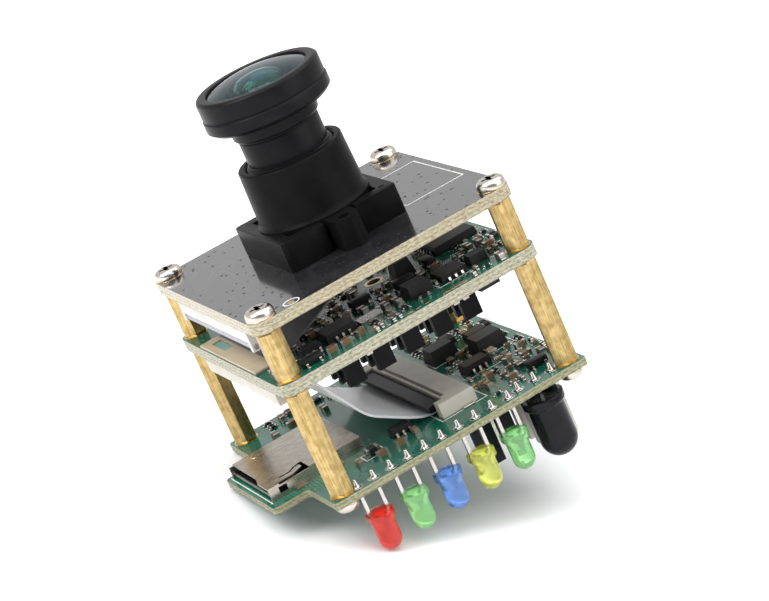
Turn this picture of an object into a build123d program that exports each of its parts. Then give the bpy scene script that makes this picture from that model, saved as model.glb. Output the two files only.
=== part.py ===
from build123d import *
import os

os.makedirs("parts", exist_ok=True)

# Three-board camera module with an M12 wide-angle lens.
# Origin: on the optical axis, on the top face of the sensor board.
# +Z is the optical axis, +X runs along the front edge that carries the indicator lamps, in mm.

# Boards and the stack that carries them
board_x = 38.0
board_y = 38.0
board_t = 1.6
io_board_t = 1.0
corner_r = 2.0
io_corner_r = 0.6
hole_pitch = 34.0
upper_gap = 7.0
lower_gap = 15.0
tongue_reach = 5.1
tongue_y0 = -10.0
tongue_y1 = 7.6

sensor_top = 0.0
sensor_bottom = sensor_top - board_t
main_top = sensor_bottom - upper_gap
main_bottom = main_top - board_t
io_top = main_bottom - lower_gap
io_bottom = io_top - io_board_t

# M2 screws and hexagonal spacers
screw_hole_r = 1.1
thread_r = 1.0
thread_gap = 0.02
screw_r = thread_r - thread_gap
standoff_af = 3.0
standoff_turn = 15.0
standoff_end_chamfer = 0.4
tap_depth = 4.6
screw_grip = 4.0
head_r = 1.9
head_h = 1.3
lower_head_r = 1.6

# Lens holder on the sensor board
base_w = 17.0
base_h = 4.0
mount_thread_r = 6.0
tube_foot_r = mount_thread_r + 1.35
tube_top_r = mount_thread_r + 1.1
tube_top_z = 12.0
tube_edge = 0.2
foot_ring_w = 0.35
foot_ring_h = 0.2
foot_slope_h = 0.6
web_bottom = 2.4
web_t = 0.8
cavity_w = 13.0
window_w = 7.4
boss_pitch = 20.0
boss_r = 1.9
boss_notch_w = 4.8
boss_notch_depth = 1.5
boss_neck_w = 3.4
base_corner_chamfer = 0.25
boss_bore_r = 0.8

# Lens
focus_gap = 0.05
lens_thread_r = mount_thread_r - focus_gap
lens_bottom = 4.2
lens_thread_top = 11.6
neck_r = lens_thread_r - 0.53
collar_r = 5.87
collar_z0 = 15.8
cup_z0 = 18.2
cup_z1 = 20.7
cup_r = 7.6
bezel_r = 8.38
bezel_rim_r = 8.5
bezel_bottom = 17.75
bezel_top = 22.66
bezel_lip_r = 6.8
seat_gap = 0.03
glass_r = 7.05
glass_edge_z1 = 21.5
glass_apex = 23.5
dome_r = 16.0
hollow_r = 5.6
hollow_mouth_r = 4.8
glass_foot = 19.6

# Flat flexible cables and their connectors
ffc_w = 20.5
ffc_t = 0.3
conn_side = 2.55
conn_len = ffc_w + 2 * conn_side
conn_depth = 4.4
slot_h = 0.4
slot_depth = 3.1

# Heatsink under the main board
chip_w = 14.0
chip_h = 1.2
pad_t = 0.5
sink_w = 20.2
sink_base_t = 1.3
sink_h = 4.6
pin_w = 2.5
fin_t = 0.9
pin_columns = 5
fin_rows = 8
sink_x = 1.9
sink_y = 0.5

# Indicator lamps and the infrared receiver
lead_pitch = 2.54
lead_row_x0 = -15.25
lead_row_y = -board_y / 2 + 1.15
lead_w = 0.45
lead_hole_r = 0.45
lead_tail = 0.6
lamp_count = 5
lamp_drop = 3.2
lamp_h = 5.3
lamp_r = 1.5
lamp_flange_r = 1.9
lamp_flange_t = 1.0
receiver_x = 12.05
receiver_y = -board_y / 2 + 2.0
receiver_drop = 1.2
receiver_h = 8.6
receiver_r = 2.5
receiver_flange_r = 2.9
receiver_flange_t = 1.0

# Memory card slot on the tongue
slot_inset = 0.8
slot_l = 13.9
slot_x0 = -board_x / 2 - tongue_reach + slot_inset
slot_x1 = slot_x0 + slot_l
slot_y0 = -7.95
slot_y1 = 6.45
slot_shell_h = 1.85
sheet_t = 0.2


def hexagon_r(across_flats):
    """Corner radius of a hexagon of the given width across flats."""
    return across_flats / 3**0.5


def write(part, name):
    """Labels one finished piece and writes it to its file."""
    part.label = name
    export_step(part, f"parts/{name}.step")


# Sensor board: black, carries the lens holder above and the flex connector below
with BuildPart() as sensor_board:
    with BuildSketch(Plane.XY.offset(sensor_bottom)):
        RectangleRounded(board_x, board_y, corner_r)
        with GridLocations(hole_pitch, hole_pitch, 2, 2):
            Circle(screw_hole_r, mode=Mode.SUBTRACT)
        with GridLocations(0, boss_pitch, 1, 2):
            Circle(boss_bore_r + 0.3, mode=Mode.SUBTRACT)
    extrude(amount=board_t)
write(sensor_board.part, "sensor_board")

# Main board: green, processor and heatsink below, plated tooling hole near its centre
tooling_hole_r = 0.9
tooling_x, tooling_y = 2.9, -0.9
with BuildPart() as main_board:
    with BuildSketch(Plane.XY.offset(main_bottom)):
        RectangleRounded(board_x, board_y, corner_r)
        with GridLocations(hole_pitch, hole_pitch, 2, 2):
            Circle(screw_hole_r, mode=Mode.SUBTRACT)
        with Locations((tooling_x, tooling_y)):
            Circle(tooling_hole_r, mode=Mode.SUBTRACT)
    extrude(amount=board_t)
write(main_board.part, "main_board")

# Lower board: green, with the tongue under the card slot and plated holes for the leads
lead_xs = [lead_row_x0 + i * lead_pitch for i in range(2 * lamp_count)]
receiver_xs = [receiver_x + i * lead_pitch for i in (-1, 0, 1)]
with BuildPart() as io_board:
    with BuildSketch(Plane.XY.offset(io_bottom)) as io_outline:
        Rectangle(board_x, board_y)
        with Locations((-board_x / 2, (tongue_y0 + tongue_y1) / 2)):
            Rectangle(tongue_reach, tongue_y1 - tongue_y0, align=(Align.MAX, Align.CENTER))
        fillet(io_outline.vertices(), io_corner_r)
        with GridLocations(hole_pitch, hole_pitch, 2, 2):
            Circle(screw_hole_r, mode=Mode.SUBTRACT)
        with Locations([(x, lead_row_y) for x in lead_xs] + [(x, receiver_y) for x in receiver_xs]):
            RegularPolygon(lead_hole_r, 6, mode=Mode.SUBTRACT)
    extrude(amount=io_board_t)
write(io_board.part, "io_board")

# Upper standoffs: tapped above, a threaded stud below that reaches through the main board
stud_len = board_t + screw_grip
with BuildPart() as upper_standoffs:
    with BuildSketch(Plane.XY.offset(main_top)):
        with GridLocations(hole_pitch, hole_pitch, 2, 2):
            RegularPolygon(hexagon_r(standoff_af), 6, rotation=standoff_turn)
    extrude(amount=upper_gap)
    ends = upper_standoffs.faces().filter_by(Axis.Z)
    chamfer(ends.edges(), standoff_end_chamfer)
    with BuildSketch(Plane.XY.offset(sensor_bottom)):
        with GridLocations(hole_pitch, hole_pitch, 2, 2):
            Circle(thread_r)
    extrude(amount=-tap_depth, mode=Mode.SUBTRACT)
    with BuildSketch(Plane.XY.offset(main_top)):
        with GridLocations(hole_pitch, hole_pitch, 2, 2):
            Circle(screw_r)
    extrude(amount=-stud_len)
write(upper_standoffs.part, "upper_standoffs")

# Lower standoffs: tapped at both ends
with BuildPart() as lower_standoffs:
    with BuildSketch(Plane.XY.offset(io_top)):
        with GridLocations(hole_pitch, hole_pitch, 2, 2):
            RegularPolygon(hexagon_r(standoff_af), 6, rotation=standoff_turn)
    extrude(amount=lower_gap)
    ends = lower_standoffs.faces().filter_by(Axis.Z)
    chamfer(ends.edges(), standoff_end_chamfer)
    for z, direction in ((main_bottom, -1), (io_top, 1)):
        with BuildSketch(Plane.XY.offset(z)):
            with GridLocations(hole_pitch, hole_pitch, 2, 2):
                Circle(thread_r)
        extrude(amount=direction * tap_depth, mode=Mode.SUBTRACT)
write(lower_standoffs.part, "lower_standoffs")


def plain_screw(face_z, up, shank_len, radius, top_r, top_h):
    """Screw at the origin whose head sits on face_z, on the side that up (+1 or -1) gives."""
    with BuildPart() as screw:
        with BuildSketch(Plane.XZ):
            with BuildLine():
                Polyline(
                    (0, face_z + up * top_h),
                    (top_r * 0.75, face_z + up * top_h),
                    (top_r, face_z),
                    (radius, face_z),
                    (radius, face_z - up * shank_len),
                    (0, face_z - up * shank_len),
                    close=True,
                )
            make_face()
        revolve(axis=Axis.Z)
    return screw.part


# Corner screws above and below, and the two screws that pull the lens holder down
with BuildPart() as top_screws:
    with GridLocations(hole_pitch, hole_pitch, 2, 2):
        add(plain_screw(sensor_top, 1, board_t + screw_grip, screw_r, head_r, head_h))
write(top_screws.part, "top_screws")

with BuildPart() as bottom_screws:
    with GridLocations(hole_pitch, hole_pitch, 2, 2):
        add(plain_screw(io_bottom, -1, io_board_t + screw_grip, screw_r, lower_head_r, head_h))
write(bottom_screws.part, "bottom_screws")

holder_screw_grip = 3.2
holder_head_r = 1.6
holder_head_h = 1.1
holder_shank_r = boss_bore_r - thread_gap
with BuildPart() as holder_screws:
    with GridLocations(0, boss_pitch, 1, 2):
        add(
            plain_screw(
                sensor_bottom, -1, board_t + holder_screw_grip, holder_shank_r, holder_head_r, holder_head_h
            )
        )
write(holder_screws.part, "holder_screws")

# Lens holder: square base, two screw bosses in notches, tapered tube with the lens thread
foot_ring_r = tube_foot_r + foot_ring_w
foot_sink = 0.1
with BuildPart() as lens_holder:
    with BuildSketch():
        Rectangle(base_w, base_w)
        with GridLocations(0, base_w - boss_notch_depth, 1, 2):
            Rectangle(boss_notch_w, boss_notch_depth, mode=Mode.SUBTRACT)
        with GridLocations(0, boss_pitch, 1, 2):
            Circle(boss_r)
        Rectangle(boss_neck_w, boss_pitch)
    extrude(amount=base_h)
    corners = lens_holder.edges().filter_by(Axis.Z).group_by(SortBy.DISTANCE)[-1]
    chamfer(corners, base_corner_chamfer)
    with BuildSketch(Plane.XZ):
        with BuildLine():
            Polyline(
                (0, base_h - foot_sink),
                (foot_ring_r, base_h - foot_sink),
                (foot_ring_r, base_h + foot_ring_h),
                (tube_foot_r, base_h + foot_slope_h),
                (tube_top_r, tube_top_z - tube_edge),
                (tube_top_r - tube_edge, tube_top_z),
                (0, tube_top_z),
                close=True,
            )
        make_face()
    revolve(axis=Axis.Z)
    with BuildSketch():
        Rectangle(cavity_w, cavity_w)
    extrude(amount=web_bottom, mode=Mode.SUBTRACT)
    with BuildSketch(Plane.XY.offset(web_bottom)):
        Rectangle(window_w, window_w)
    extrude(amount=web_t, mode=Mode.SUBTRACT)
    with BuildSketch(Plane.XY.offset(web_bottom + web_t)):
        Circle(mount_thread_r)
    extrude(amount=tube_top_z, mode=Mode.SUBTRACT)
    with BuildSketch():
        with GridLocations(0, boss_pitch, 1, 2):
            Circle(boss_bore_r)
    extrude(amount=base_h, mode=Mode.SUBTRACT)
write(lens_holder.part, "lens_holder")

# Infrared-cut filter under the holder's web, above the image sensor
filter_w = 9.4
filter_t = 0.3
with BuildPart() as ir_cut_filter:
    with BuildSketch(Plane.XY.offset(web_bottom)):
        Rectangle(filter_w, filter_w)
    extrude(amount=-filter_t)
write(ir_cut_filter.part, "ir_cut_filter")

sensor_w = 9.2
sensor_h = 1.0
die_w = 6.6
die_recess = 0.3
cover_t = 0.4
with BuildPart() as image_sensor:
    with BuildSketch():
        Rectangle(sensor_w, sensor_w)
    extrude(amount=sensor_h)
    with BuildSketch(Plane.XY.offset(sensor_h)):
        Rectangle(die_w, die_w)
    extrude(amount=-die_recess, mode=Mode.SUBTRACT)
write(image_sensor.part, "image_sensor")

with BuildPart() as sensor_cover_glass:
    with BuildSketch(Plane.XY.offset(sensor_h)):
        Rectangle(sensor_w - 0.6, sensor_w - 0.6)
    extrude(amount=cover_t)
write(sensor_cover_glass.part, "sensor_cover_glass")

# Lens barrel: threaded below, two necks, and a cup above for the front glass
rear_lip_z = 5.6
rear_lip_r = 3.0
rear_bore_r = 3.7
middle_bore_r = 4.1
front_bore_r = 4.7
middle_step_z = 10.8
front_step_z = 15.4
with BuildPart() as lens_barrel:
    with BuildSketch(Plane.XZ):
        with BuildLine():
            Polyline(
                (rear_lip_r, lens_bottom),
                (lens_thread_r, lens_bottom),
                (lens_thread_r, lens_thread_top),
                (neck_r, lens_thread_top),
                (neck_r, collar_z0),
                (collar_r - 0.35, collar_z0),
                (collar_r, collar_z0 + 0.35),
                (collar_r, cup_z0),
                (cup_r, cup_z0),
                (cup_r, cup_z1),
                (glass_r + 0.15, cup_z1),
                (glass_r + 0.15, glass_foot - 0.05),
                (front_bore_r, glass_foot - 0.05),
                (front_bore_r, front_step_z),
                (middle_bore_r, front_step_z),
                (middle_bore_r, middle_step_z),
                (rear_bore_r, middle_step_z),
                (rear_bore_r, rear_lip_z),
                (rear_lip_r, rear_lip_z),
                close=True,
            )
        make_face()
    revolve(axis=Axis.Z)
write(lens_barrel.part, "lens_barrel")

# Lens bezel: front ring that closes over the cup, with a groove above its lower flange
flange_top = 19.9
bezel_bore_r = cup_r + seat_gap
with BuildPart() as lens_bezel:
    with BuildSketch(Plane.XZ):
        with BuildLine():
            Polyline(
                (collar_r + seat_gap, bezel_bottom),
                (bezel_rim_r - 0.7, bezel_bottom),
                (bezel_rim_r, bezel_bottom + 0.6),
                (bezel_rim_r, flange_top),
                (bezel_r, flange_top),
                (bezel_r, bezel_top - 0.2),
                (bezel_r - 0.2, bezel_top),
                (bezel_lip_r, bezel_top),
                (bezel_lip_r, glass_edge_z1 + 0.1),
                (glass_r + 0.1, glass_edge_z1 + 0.1),
                (glass_r + 0.1, cup_z1 + seat_gap),
                (bezel_bore_r, cup_z1 + seat_gap),
                (bezel_bore_r, cup_z0 - seat_gap),
                (collar_r + seat_gap, cup_z0 - seat_gap),
                close=True,
            )
        make_face()
    revolve(axis=Axis.Z)
write(lens_bezel.part, "lens_bezel")

# Front glass: a domed meniscus, hollow behind
dome_edge_r = bezel_lip_r - 0.15
dome_sag = dome_r - (dome_r**2 - dome_edge_r**2) ** 0.5
dome_mid_r = dome_edge_r / 2
dome_mid_z = glass_apex - dome_r + (dome_r**2 - dome_mid_r**2) ** 0.5
hollow_sag = hollow_r - (hollow_r**2 - hollow_mouth_r**2) ** 0.5
hollow_apex = glass_foot + hollow_sag
hollow_mid_r = hollow_mouth_r / 2
hollow_mid_z = hollow_apex - hollow_r + (hollow_r**2 - hollow_mid_r**2) ** 0.5
with BuildPart() as front_glass:
    with BuildSketch(Plane.XZ):
        with BuildLine():
            ThreePointArc(
                (0, glass_apex), (dome_mid_r, dome_mid_z), (dome_edge_r, glass_apex - dome_sag)
            )
            Polyline(
                (dome_edge_r, glass_apex - dome_sag),
                (dome_edge_r, glass_edge_z1),
                (glass_r, glass_edge_z1),
                (glass_r, glass_foot),
                (hollow_mouth_r, glass_foot),
            )
            ThreePointArc((hollow_mouth_r, glass_foot), (hollow_mid_r, hollow_mid_z), (0, hollow_apex))
            Line((0, hollow_apex), (0, glass_apex))
        make_face()
    revolve(axis=Axis.Z)
write(front_glass.part, "front_glass")


def arc_points(clear_r, rim_z, sag):
    """Rim, middle and pole of a spherical surface that stands sag above its rim at rim_z."""
    radius = (clear_r**2 + sag**2) / (2 * abs(sag))
    drop = radius - (radius**2 - clear_r**2 / 4) ** 0.5
    middle = (abs(sag) - drop) * (1 if sag > 0 else -1)
    return (clear_r, rim_z), (clear_r / 2, rim_z + middle), (0, rim_z + sag)


def lens_element(radius, clear_r, z0, z1, sag0, sag1):
    """Glass element with flat rims at z0 and z1; a positive sag bulges outwards, a negative one in."""
    edge = radius - seat_gap
    upper = arc_points(clear_r, z1, sag1)
    lower = arc_points(clear_r, z0, -sag0)
    with BuildPart() as element:
        with BuildSketch(Plane.XZ):
            with BuildLine():
                ThreePointArc(*reversed(upper))
                Polyline(upper[0], (edge, z1), (edge, z0), lower[0])
                ThreePointArc(*lower)
                Line(lower[2], upper[2])
            make_face()
        revolve(axis=Axis.Z)
    return element.part


def spacer_tube(radius, inner, z0, z1):
    """Black spacer ring between two elements."""
    with BuildPart() as ring:
        with BuildSketch(Plane.XY.offset(z0)):
            Circle(radius - seat_gap)
            Circle(inner, mode=Mode.SUBTRACT)
        extrude(amount=z1 - z0)
    return ring.part


second_lens_z1 = 17.6
third_lens_z1 = 13.0
rear_lens_z1 = 9.0
write(lens_element(front_bore_r, 3.8, front_step_z, second_lens_z1, -0.8, 0.5), "second_lens")
write(lens_element(middle_bore_r, 3.3, middle_step_z, third_lens_z1, -0.3, 0.7), "third_lens")
write(lens_element(rear_bore_r, 2.7, rear_lip_z, rear_lens_z1, 0.7, 0.5), "rear_lens")
write(spacer_tube(front_bore_r, 3.9, second_lens_z1, glass_foot), "front_spacer")
write(spacer_tube(middle_bore_r, 3.4, third_lens_z1, front_step_z), "middle_spacer")
write(spacer_tube(rear_bore_r, 2.8, rear_lens_z1, middle_step_z), "aperture_ring")


def smd_bodies(places, size, face_z, up):
    """Bodies of small two-terminal parts on a board face; places are (x, y, turn)."""
    length, width, height = size
    with BuildPart() as group:
        for x, y, turn in places:
            with BuildSketch(Plane.XY.offset(face_z)):
                with Locations(Location((x, y, 0), (0, 0, turn))):
                    Rectangle(length * 0.6, width)
            extrude(amount=up * height)
    return group.part


def smd_ends(places, size, face_z, up):
    """Soldered end caps of the same small parts."""
    length, width, height = size
    cap = length * 0.2
    with BuildPart() as group:
        for x, y, turn in places:
            with BuildSketch(Plane.XY.offset(face_z)):
                with Locations(Location((x, y, 0), (0, 0, turn))):
                    with GridLocations(length - cap, 0, 2, 1):
                        Rectangle(cap, width)
            extrude(amount=up * height)
    return group.part


def leaded_chip(places, face_z, up, standoff=0.1):
    """Chip bodies; places are (x, y, length, width, height)."""
    with BuildPart() as group:
        for x, y, length, width, height in places:
            with BuildSketch(Plane.XY.offset(face_z + up * standoff)):
                with Locations((x, y)):
                    Rectangle(length, width)
            extrude(amount=up * (height - standoff), taper=8)
    return group.part


def gull_leads(chips, face_z, up, count, pitch, along_x):
    """Bent leads along two sides of each chip, from half its height down to the board."""
    foot, wire_w, wire_t = 0.9, 0.3, 0.15
    with BuildPart() as group:
        for x, y, length, width, height in chips:
            span = (width if along_x else length) / 2
            sides = [(side, i) for side in (1, -1) for i in range(count)]
            for side, i in sides:
                offset = (i - (count - 1) / 2) * pitch
                origin = (x + offset, y, 0) if along_x else (x, y + offset, 0)
                reach = (0, side, 0) if along_x else (side, 0, 0)
                across = Vector(*reach).cross(Vector(0, 0, up))
                plane = Plane(origin=(origin[0], origin[1], face_z), x_dir=reach, z_dir=across)
                with BuildSketch(plane):
                    with BuildLine():
                        Polyline(
                            (span, height * 0.55),
                            (span + 0.3, height * 0.55),
                            (span + 0.45, wire_t),
                            (span + foot, wire_t),
                            (span + foot, 0),
                            (span + 0.2, 0),
                            close=True,
                        )
                    make_face()
                extrude(amount=wire_w / 2, both=True)
    return group.part


# Main board, top side
main_small = (1.6, 0.8, 0.8)
main_places = [
    (-10.4, -16.4, 0), (-8.4, -16.6, 0), (-6.2, -16.2, 30), (-0.6, -12.6, 90), (0.8, -13.4, 90),
    (0.4, -10.4, 0), (2.8, -5.4, 90), (-4.6, -8.2, 0), (-2.6, -9.8, 90), (8.6, -8.8, 0),
    (6.4, -9.2, 90), (15.8, -11.2, 0), (14.0, -8.4, 90), (-9.0, 13.4, 0), (2.6, 13.8, 90),
    (9.8, 14.2, 0),
]
main_chips = [(-12.0, -13.2, 3.0, 1.7, 1.1), (-7.6, -12.2, 4.4, 3.6, 1.3), (8.6, -13.2, 3.8, 3.8, 0.9)]
memory_chips = [(14.2, 2.0, 6.4, 13.0, 1.1)]
main_coil_places = [(3.8, -13.2, 3.4, 3.2, 1.6), (5.9, -4.2, 2.8, 2.6, 2.2), (12.4, -14.0, 2.6, 2.2, 1.3)]
write(smd_bodies(main_places, main_small, main_top, 1), "main_capacitor_bodies")
write(smd_ends(main_places, main_small, main_top, 1), "main_capacitor_ends")
write(leaded_chip(main_chips + memory_chips, main_top, 1), "main_chips")
main_chip_leads = gull_leads(main_chips, main_top, 1, 3, 0.95, True)
memory_leads = gull_leads(memory_chips, main_top, 1, 12, 0.95, False)
with BuildPart() as all_chip_leads:
    add(main_chip_leads)
    add(memory_leads)
write(all_chip_leads.part, "main_chip_leads")
write(leaded_chip(main_coil_places, main_top, 1, 0.0), "main_inductors")

crystal_x, crystal_y = -3.6, -14.2
crystal_l, crystal_w, crystal_h = 3.2, 2.4, 0.9
with BuildPart() as main_crystal:
    with BuildSketch(Plane.XY.offset(main_top)):
        with Locations((crystal_x, crystal_y)):
            RectangleRounded(crystal_l, crystal_w, 0.3)
    extrude(amount=crystal_h)
write(main_crystal.part, "main_crystal")

# Processor, thermal pad and cross-cut heatsink under the main board, and a small regulator
regulator_x, regulator_y = 11.6, -16.4
regulator_l, regulator_w, regulator_h = 2.9, 1.6, 1.1
pad_z = main_bottom - chip_h
sink_z = pad_z - pad_t
sink_tip = sink_z - sink_h
column_pitch = (sink_w - pin_w) / (pin_columns - 1)
row_pitch = (sink_w - fin_t) / (fin_rows - 1)
with BuildPart() as underside_chips:
    with BuildSketch(Plane.XY.offset(main_bottom)):
        with Locations((sink_x, sink_y)):
            Rectangle(chip_w, chip_w)
    extrude(amount=-chip_h)
    with BuildSketch(Plane.XY.offset(main_bottom)):
        with Locations((regulator_x, regulator_y)):
            Rectangle(regulator_l, regulator_w)
    extrude(amount=-regulator_h)
write(underside_chips.part, "underside_chips")

with BuildPart() as thermal_pad:
    with BuildSketch(Plane.XY.offset(pad_z)):
        with Locations((sink_x, sink_y)):
            Rectangle(chip_w, chip_w)
    extrude(amount=-pad_t)
write(thermal_pad.part, "thermal_pad")

with BuildPart() as heatsink:
    with BuildSketch(Plane.XY.offset(sink_z)):
        with Locations((sink_x, sink_y)):
            Rectangle(sink_w, sink_w)
    extrude(amount=-sink_base_t)
    with BuildSketch(Plane.XY.offset(sink_z - sink_base_t)):
        with Locations((sink_x, sink_y)):
            with GridLocations(column_pitch, row_pitch, pin_columns, fin_rows):
                Rectangle(pin_w, fin_t)
    extrude(amount=sink_base_t - sink_h)
write(heatsink.part, "heatsink")

# Sensor board connector: white housing under the left edge, with a hinged lock along its rear
sensor_conn_x0 = -board_x / 2 + 0.5
sensor_conn_h = 2.2
sensor_lock_t = 1.15
lock_gap = 0.05
lock_len = 2.4
ear_y = 0.9
lock_pin_r = 0.35
sensor_slot_z = sensor_bottom - 1.05
sensor_pivot_x = sensor_conn_x0 + 0.65
sensor_lock_top = sensor_bottom - sensor_conn_h - lock_gap
sensor_pivot_z = sensor_lock_top - sensor_lock_t / 2
with BuildPart() as sensor_flex_connector:
    with BuildSketch(Plane.XY.offset(sensor_bottom)):
        with Locations((sensor_conn_x0, 0)):
            Rectangle(conn_depth, conn_len, align=(Align.MIN, Align.CENTER))
    extrude(amount=-sensor_conn_h)
    with BuildSketch(Plane.XY.offset(sensor_bottom - sensor_conn_h)):
        with GridLocations(0, conn_len - ear_y, 1, 2):
            with Locations((sensor_conn_x0, 0)):
                Rectangle(1.3, ear_y, align=(Align.MIN, Align.CENTER))
    extrude(amount=-(sensor_lock_t + lock_gap))
    with BuildSketch(Plane.YZ.offset(sensor_conn_x0 + conn_depth)):
        with Locations((0, sensor_slot_z)):
            Rectangle(ffc_w + 0.2, slot_h)
    extrude(amount=-slot_depth, mode=Mode.SUBTRACT)
    with BuildSketch(Plane.XZ.offset(-conn_len / 2)):
        with Locations((sensor_pivot_x, sensor_pivot_z)):
            Circle(lock_pin_r + lock_gap)
    extrude(amount=conn_len, mode=Mode.SUBTRACT)
write(sensor_flex_connector.part, "sensor_flex_connector")

lock_clear = 0.1
sensor_lock_len_y = conn_len - 2 * ear_y - 2 * lock_clear
with BuildPart() as sensor_connector_lock:
    with BuildSketch(Plane.XZ.offset(-sensor_lock_len_y / 2)) as lock_profile:
        with Locations((sensor_pivot_x, sensor_pivot_z)):
            Circle(sensor_lock_t / 2)
            Rectangle(lock_len, sensor_lock_t, align=(Align.MIN, Align.CENTER))
    extrude(amount=sensor_lock_len_y)
    with BuildSketch(Plane.XZ.offset(-(conn_len - 0.4) / 2)):
        with Locations((sensor_pivot_x, sensor_pivot_z)):
            Circle(lock_pin_r)
    extrude(amount=conn_len - 0.4)
write(sensor_connector_lock.part, "sensor_connector_lock")

# Lower board connector: cream housing with a dark lock hinged above the cable's mouth
io_conn_x0 = 1.1
io_conn_h = 2.0
io_arm_y = 1.5
io_arm_reach = 0.8
io_slot_z = io_top + 0.42
io_pivot_z = io_top + 1.25
io_lock_r = 0.45
io_pin_r = 0.35
io_pivot_x = io_conn_x0 - 0.1
io_lock_reach = 1.6
io_lock_len = conn_len - 2 * io_arm_y - 0.2
groove_x1 = io_pivot_x + io_lock_r + lock_gap
with BuildPart() as io_ribbon_connector:
    with BuildSketch(Plane.XY.offset(io_top)):
        with Locations((io_conn_x0, 0)):
            Rectangle(conn_depth, conn_len, align=(Align.MIN, Align.CENTER))
        with Locations((io_conn_x0, 0)):
            with GridLocations(0, conn_len - io_arm_y, 1, 2):
                Rectangle(io_arm_reach, io_arm_y, align=(Align.MAX, Align.CENTER))
    extrude(amount=io_conn_h)
    top_face = io_ribbon_connector.faces().sort_by(Axis.Z)[-1]
    rear_edge = top_face.edges().filter_by(Axis.Y).sort_by(Axis.X)[-1]
    chamfer(rear_edge, 0.2)
    with BuildSketch(Plane.YZ.offset(io_conn_x0)):
        with Locations((0, io_slot_z)):
            Rectangle(ffc_w + 0.2, slot_h)
    extrude(amount=slot_depth, mode=Mode.SUBTRACT)
    with BuildSketch(Plane.XZ.offset(-(io_lock_len + 0.2) / 2)):
        with Locations((io_pivot_x, io_pivot_z)):
            Circle(io_lock_r + lock_gap)
        with Locations((groove_x1, io_pivot_z)):
            Rectangle(1.0, io_conn_h, align=(Align.MAX, Align.MIN))
    extrude(amount=io_lock_len + 0.2, mode=Mode.SUBTRACT)
    with BuildSketch(Plane.XZ.offset(-(conn_len - 0.8) / 2)):
        with Locations((io_pivot_x, io_pivot_z)):
            Circle(io_pin_r + lock_gap)
    extrude(amount=conn_len - 0.8, mode=Mode.SUBTRACT)
    with BuildSketch(Plane.XY.offset(io_top + io_conn_h)):
        with Locations((io_conn_x0 + 0.95, 0)):
            Rectangle(0.6, ffc_w + 0.6)
    extrude(amount=-0.45, mode=Mode.SUBTRACT)
write(io_ribbon_connector.part, "io_ribbon_connector")

with BuildPart() as io_connector_lock:
    with BuildSketch(Plane.XZ.offset(-io_lock_len / 2)):
        with Locations((io_pivot_x, io_pivot_z)):
            Circle(io_lock_r)
            Rectangle(io_lock_reach, 2 * io_lock_r, align=(Align.MAX, Align.CENTER))
    extrude(amount=io_lock_len)
    tips = io_connector_lock.edges().filter_by(Axis.Y).group_by(Axis.X)[0]
    chamfer(tips, 0.15)
    with BuildSketch(Plane.XZ.offset(-(conn_len - 1.0) / 2)):
        with Locations((io_pivot_x, io_pivot_z)):
            Circle(io_pin_r)
    extrude(amount=conn_len - 1.0)
write(io_connector_lock.part, "io_connector_lock")

# Main board's lower connector: cream, without a lock, mouth to the right
ribbon_conn_x0 = -board_x / 2 + 0.6
ribbon_conn_h = 2.5
ribbon_slot_z = main_bottom - 1.8
with BuildPart() as main_ribbon_connector:
    with BuildSketch(Plane.XY.offset(main_bottom)):
        with Locations((ribbon_conn_x0, 0)):
            Rectangle(conn_depth, conn_len, align=(Align.MIN, Align.CENTER))
    extrude(amount=-ribbon_conn_h)
    with BuildSketch(Plane.YZ.offset(ribbon_conn_x0 + conn_depth)):
        with Locations((0, ribbon_slot_z)):
            Rectangle(ffc_w + 0.2, slot_h)
    extrude(amount=-slot_depth, mode=Mode.SUBTRACT)
write(main_ribbon_connector.part, "main_ribbon_connector")


def flat_cable(points, radii, thickness, width):
    """Flat cable of the given width along Y whose middle line runs through points in the XZ plane."""
    with BuildPart() as cable:
        with BuildSketch(Plane.XZ.offset(-width / 2)):
            with BuildLine() as path:
                FilletPolyline(*points, radius=radii)
            trace(path.line, thickness)
        extrude(amount=width)
    return cable.part


# White ribbon between the main board and the lower board
ribbon_start_x = ribbon_conn_x0 + conn_depth - slot_depth + 0.1
ribbon_end_x = io_conn_x0 + slot_depth - 0.1
ribbon_points = [
    (ribbon_start_x, ribbon_slot_z),
    (-13.2, ribbon_slot_z),
    (-7.9, io_top + 4.5),
    (-3.2, io_top + 1.6),
    (-0.9, io_slot_z),
    (ribbon_end_x, io_slot_z),
]
write(flat_cable(ribbon_points, [1.2, 6.0, 5.0, 5.0], ffc_t, ffc_w), "ribbon_cable")

# Grey sensor flex: soldered flat along the main board's left edge, folded back into the connector
flex_t = 0.2
flex_start_x = -board_x / 2 + 0.1
flex_end_x = sensor_conn_x0 + conn_depth - slot_depth + 0.1
flex_rest_z = main_top + flex_t / 2
flex_points = [
    (flex_start_x, flex_rest_z),
    (-15.6, flex_rest_z),
    (-5.6, sensor_bottom - 2.85),
    (-3.3, sensor_bottom - 1.9),
    (-4.0, sensor_slot_z),
    (flex_end_x, sensor_slot_z),
]
write(flat_cable(flex_points, [2.0, 3.0, 0.35, 0.35], flex_t, ffc_w), "sensor_flex")

# Amber stiffener on the flex tail, with a rectangular window
stiffener_t = 0.2
stiffener_w = 2.8
stiffener_window_x = flex_start_x + 1.75
with BuildPart() as flex_stiffener:
    with BuildSketch(Plane.XY.offset(main_top + flex_t)):
        with Locations((flex_start_x, 0)):
            Rectangle(stiffener_w, ffc_w, align=(Align.MIN, Align.CENTER))
        with Locations((stiffener_window_x, 5.8)):
            Rectangle(1.4, 5.0, mode=Mode.SUBTRACT)
    extrude(amount=stiffener_t)
write(flex_stiffener.part, "flex_stiffener")

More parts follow.
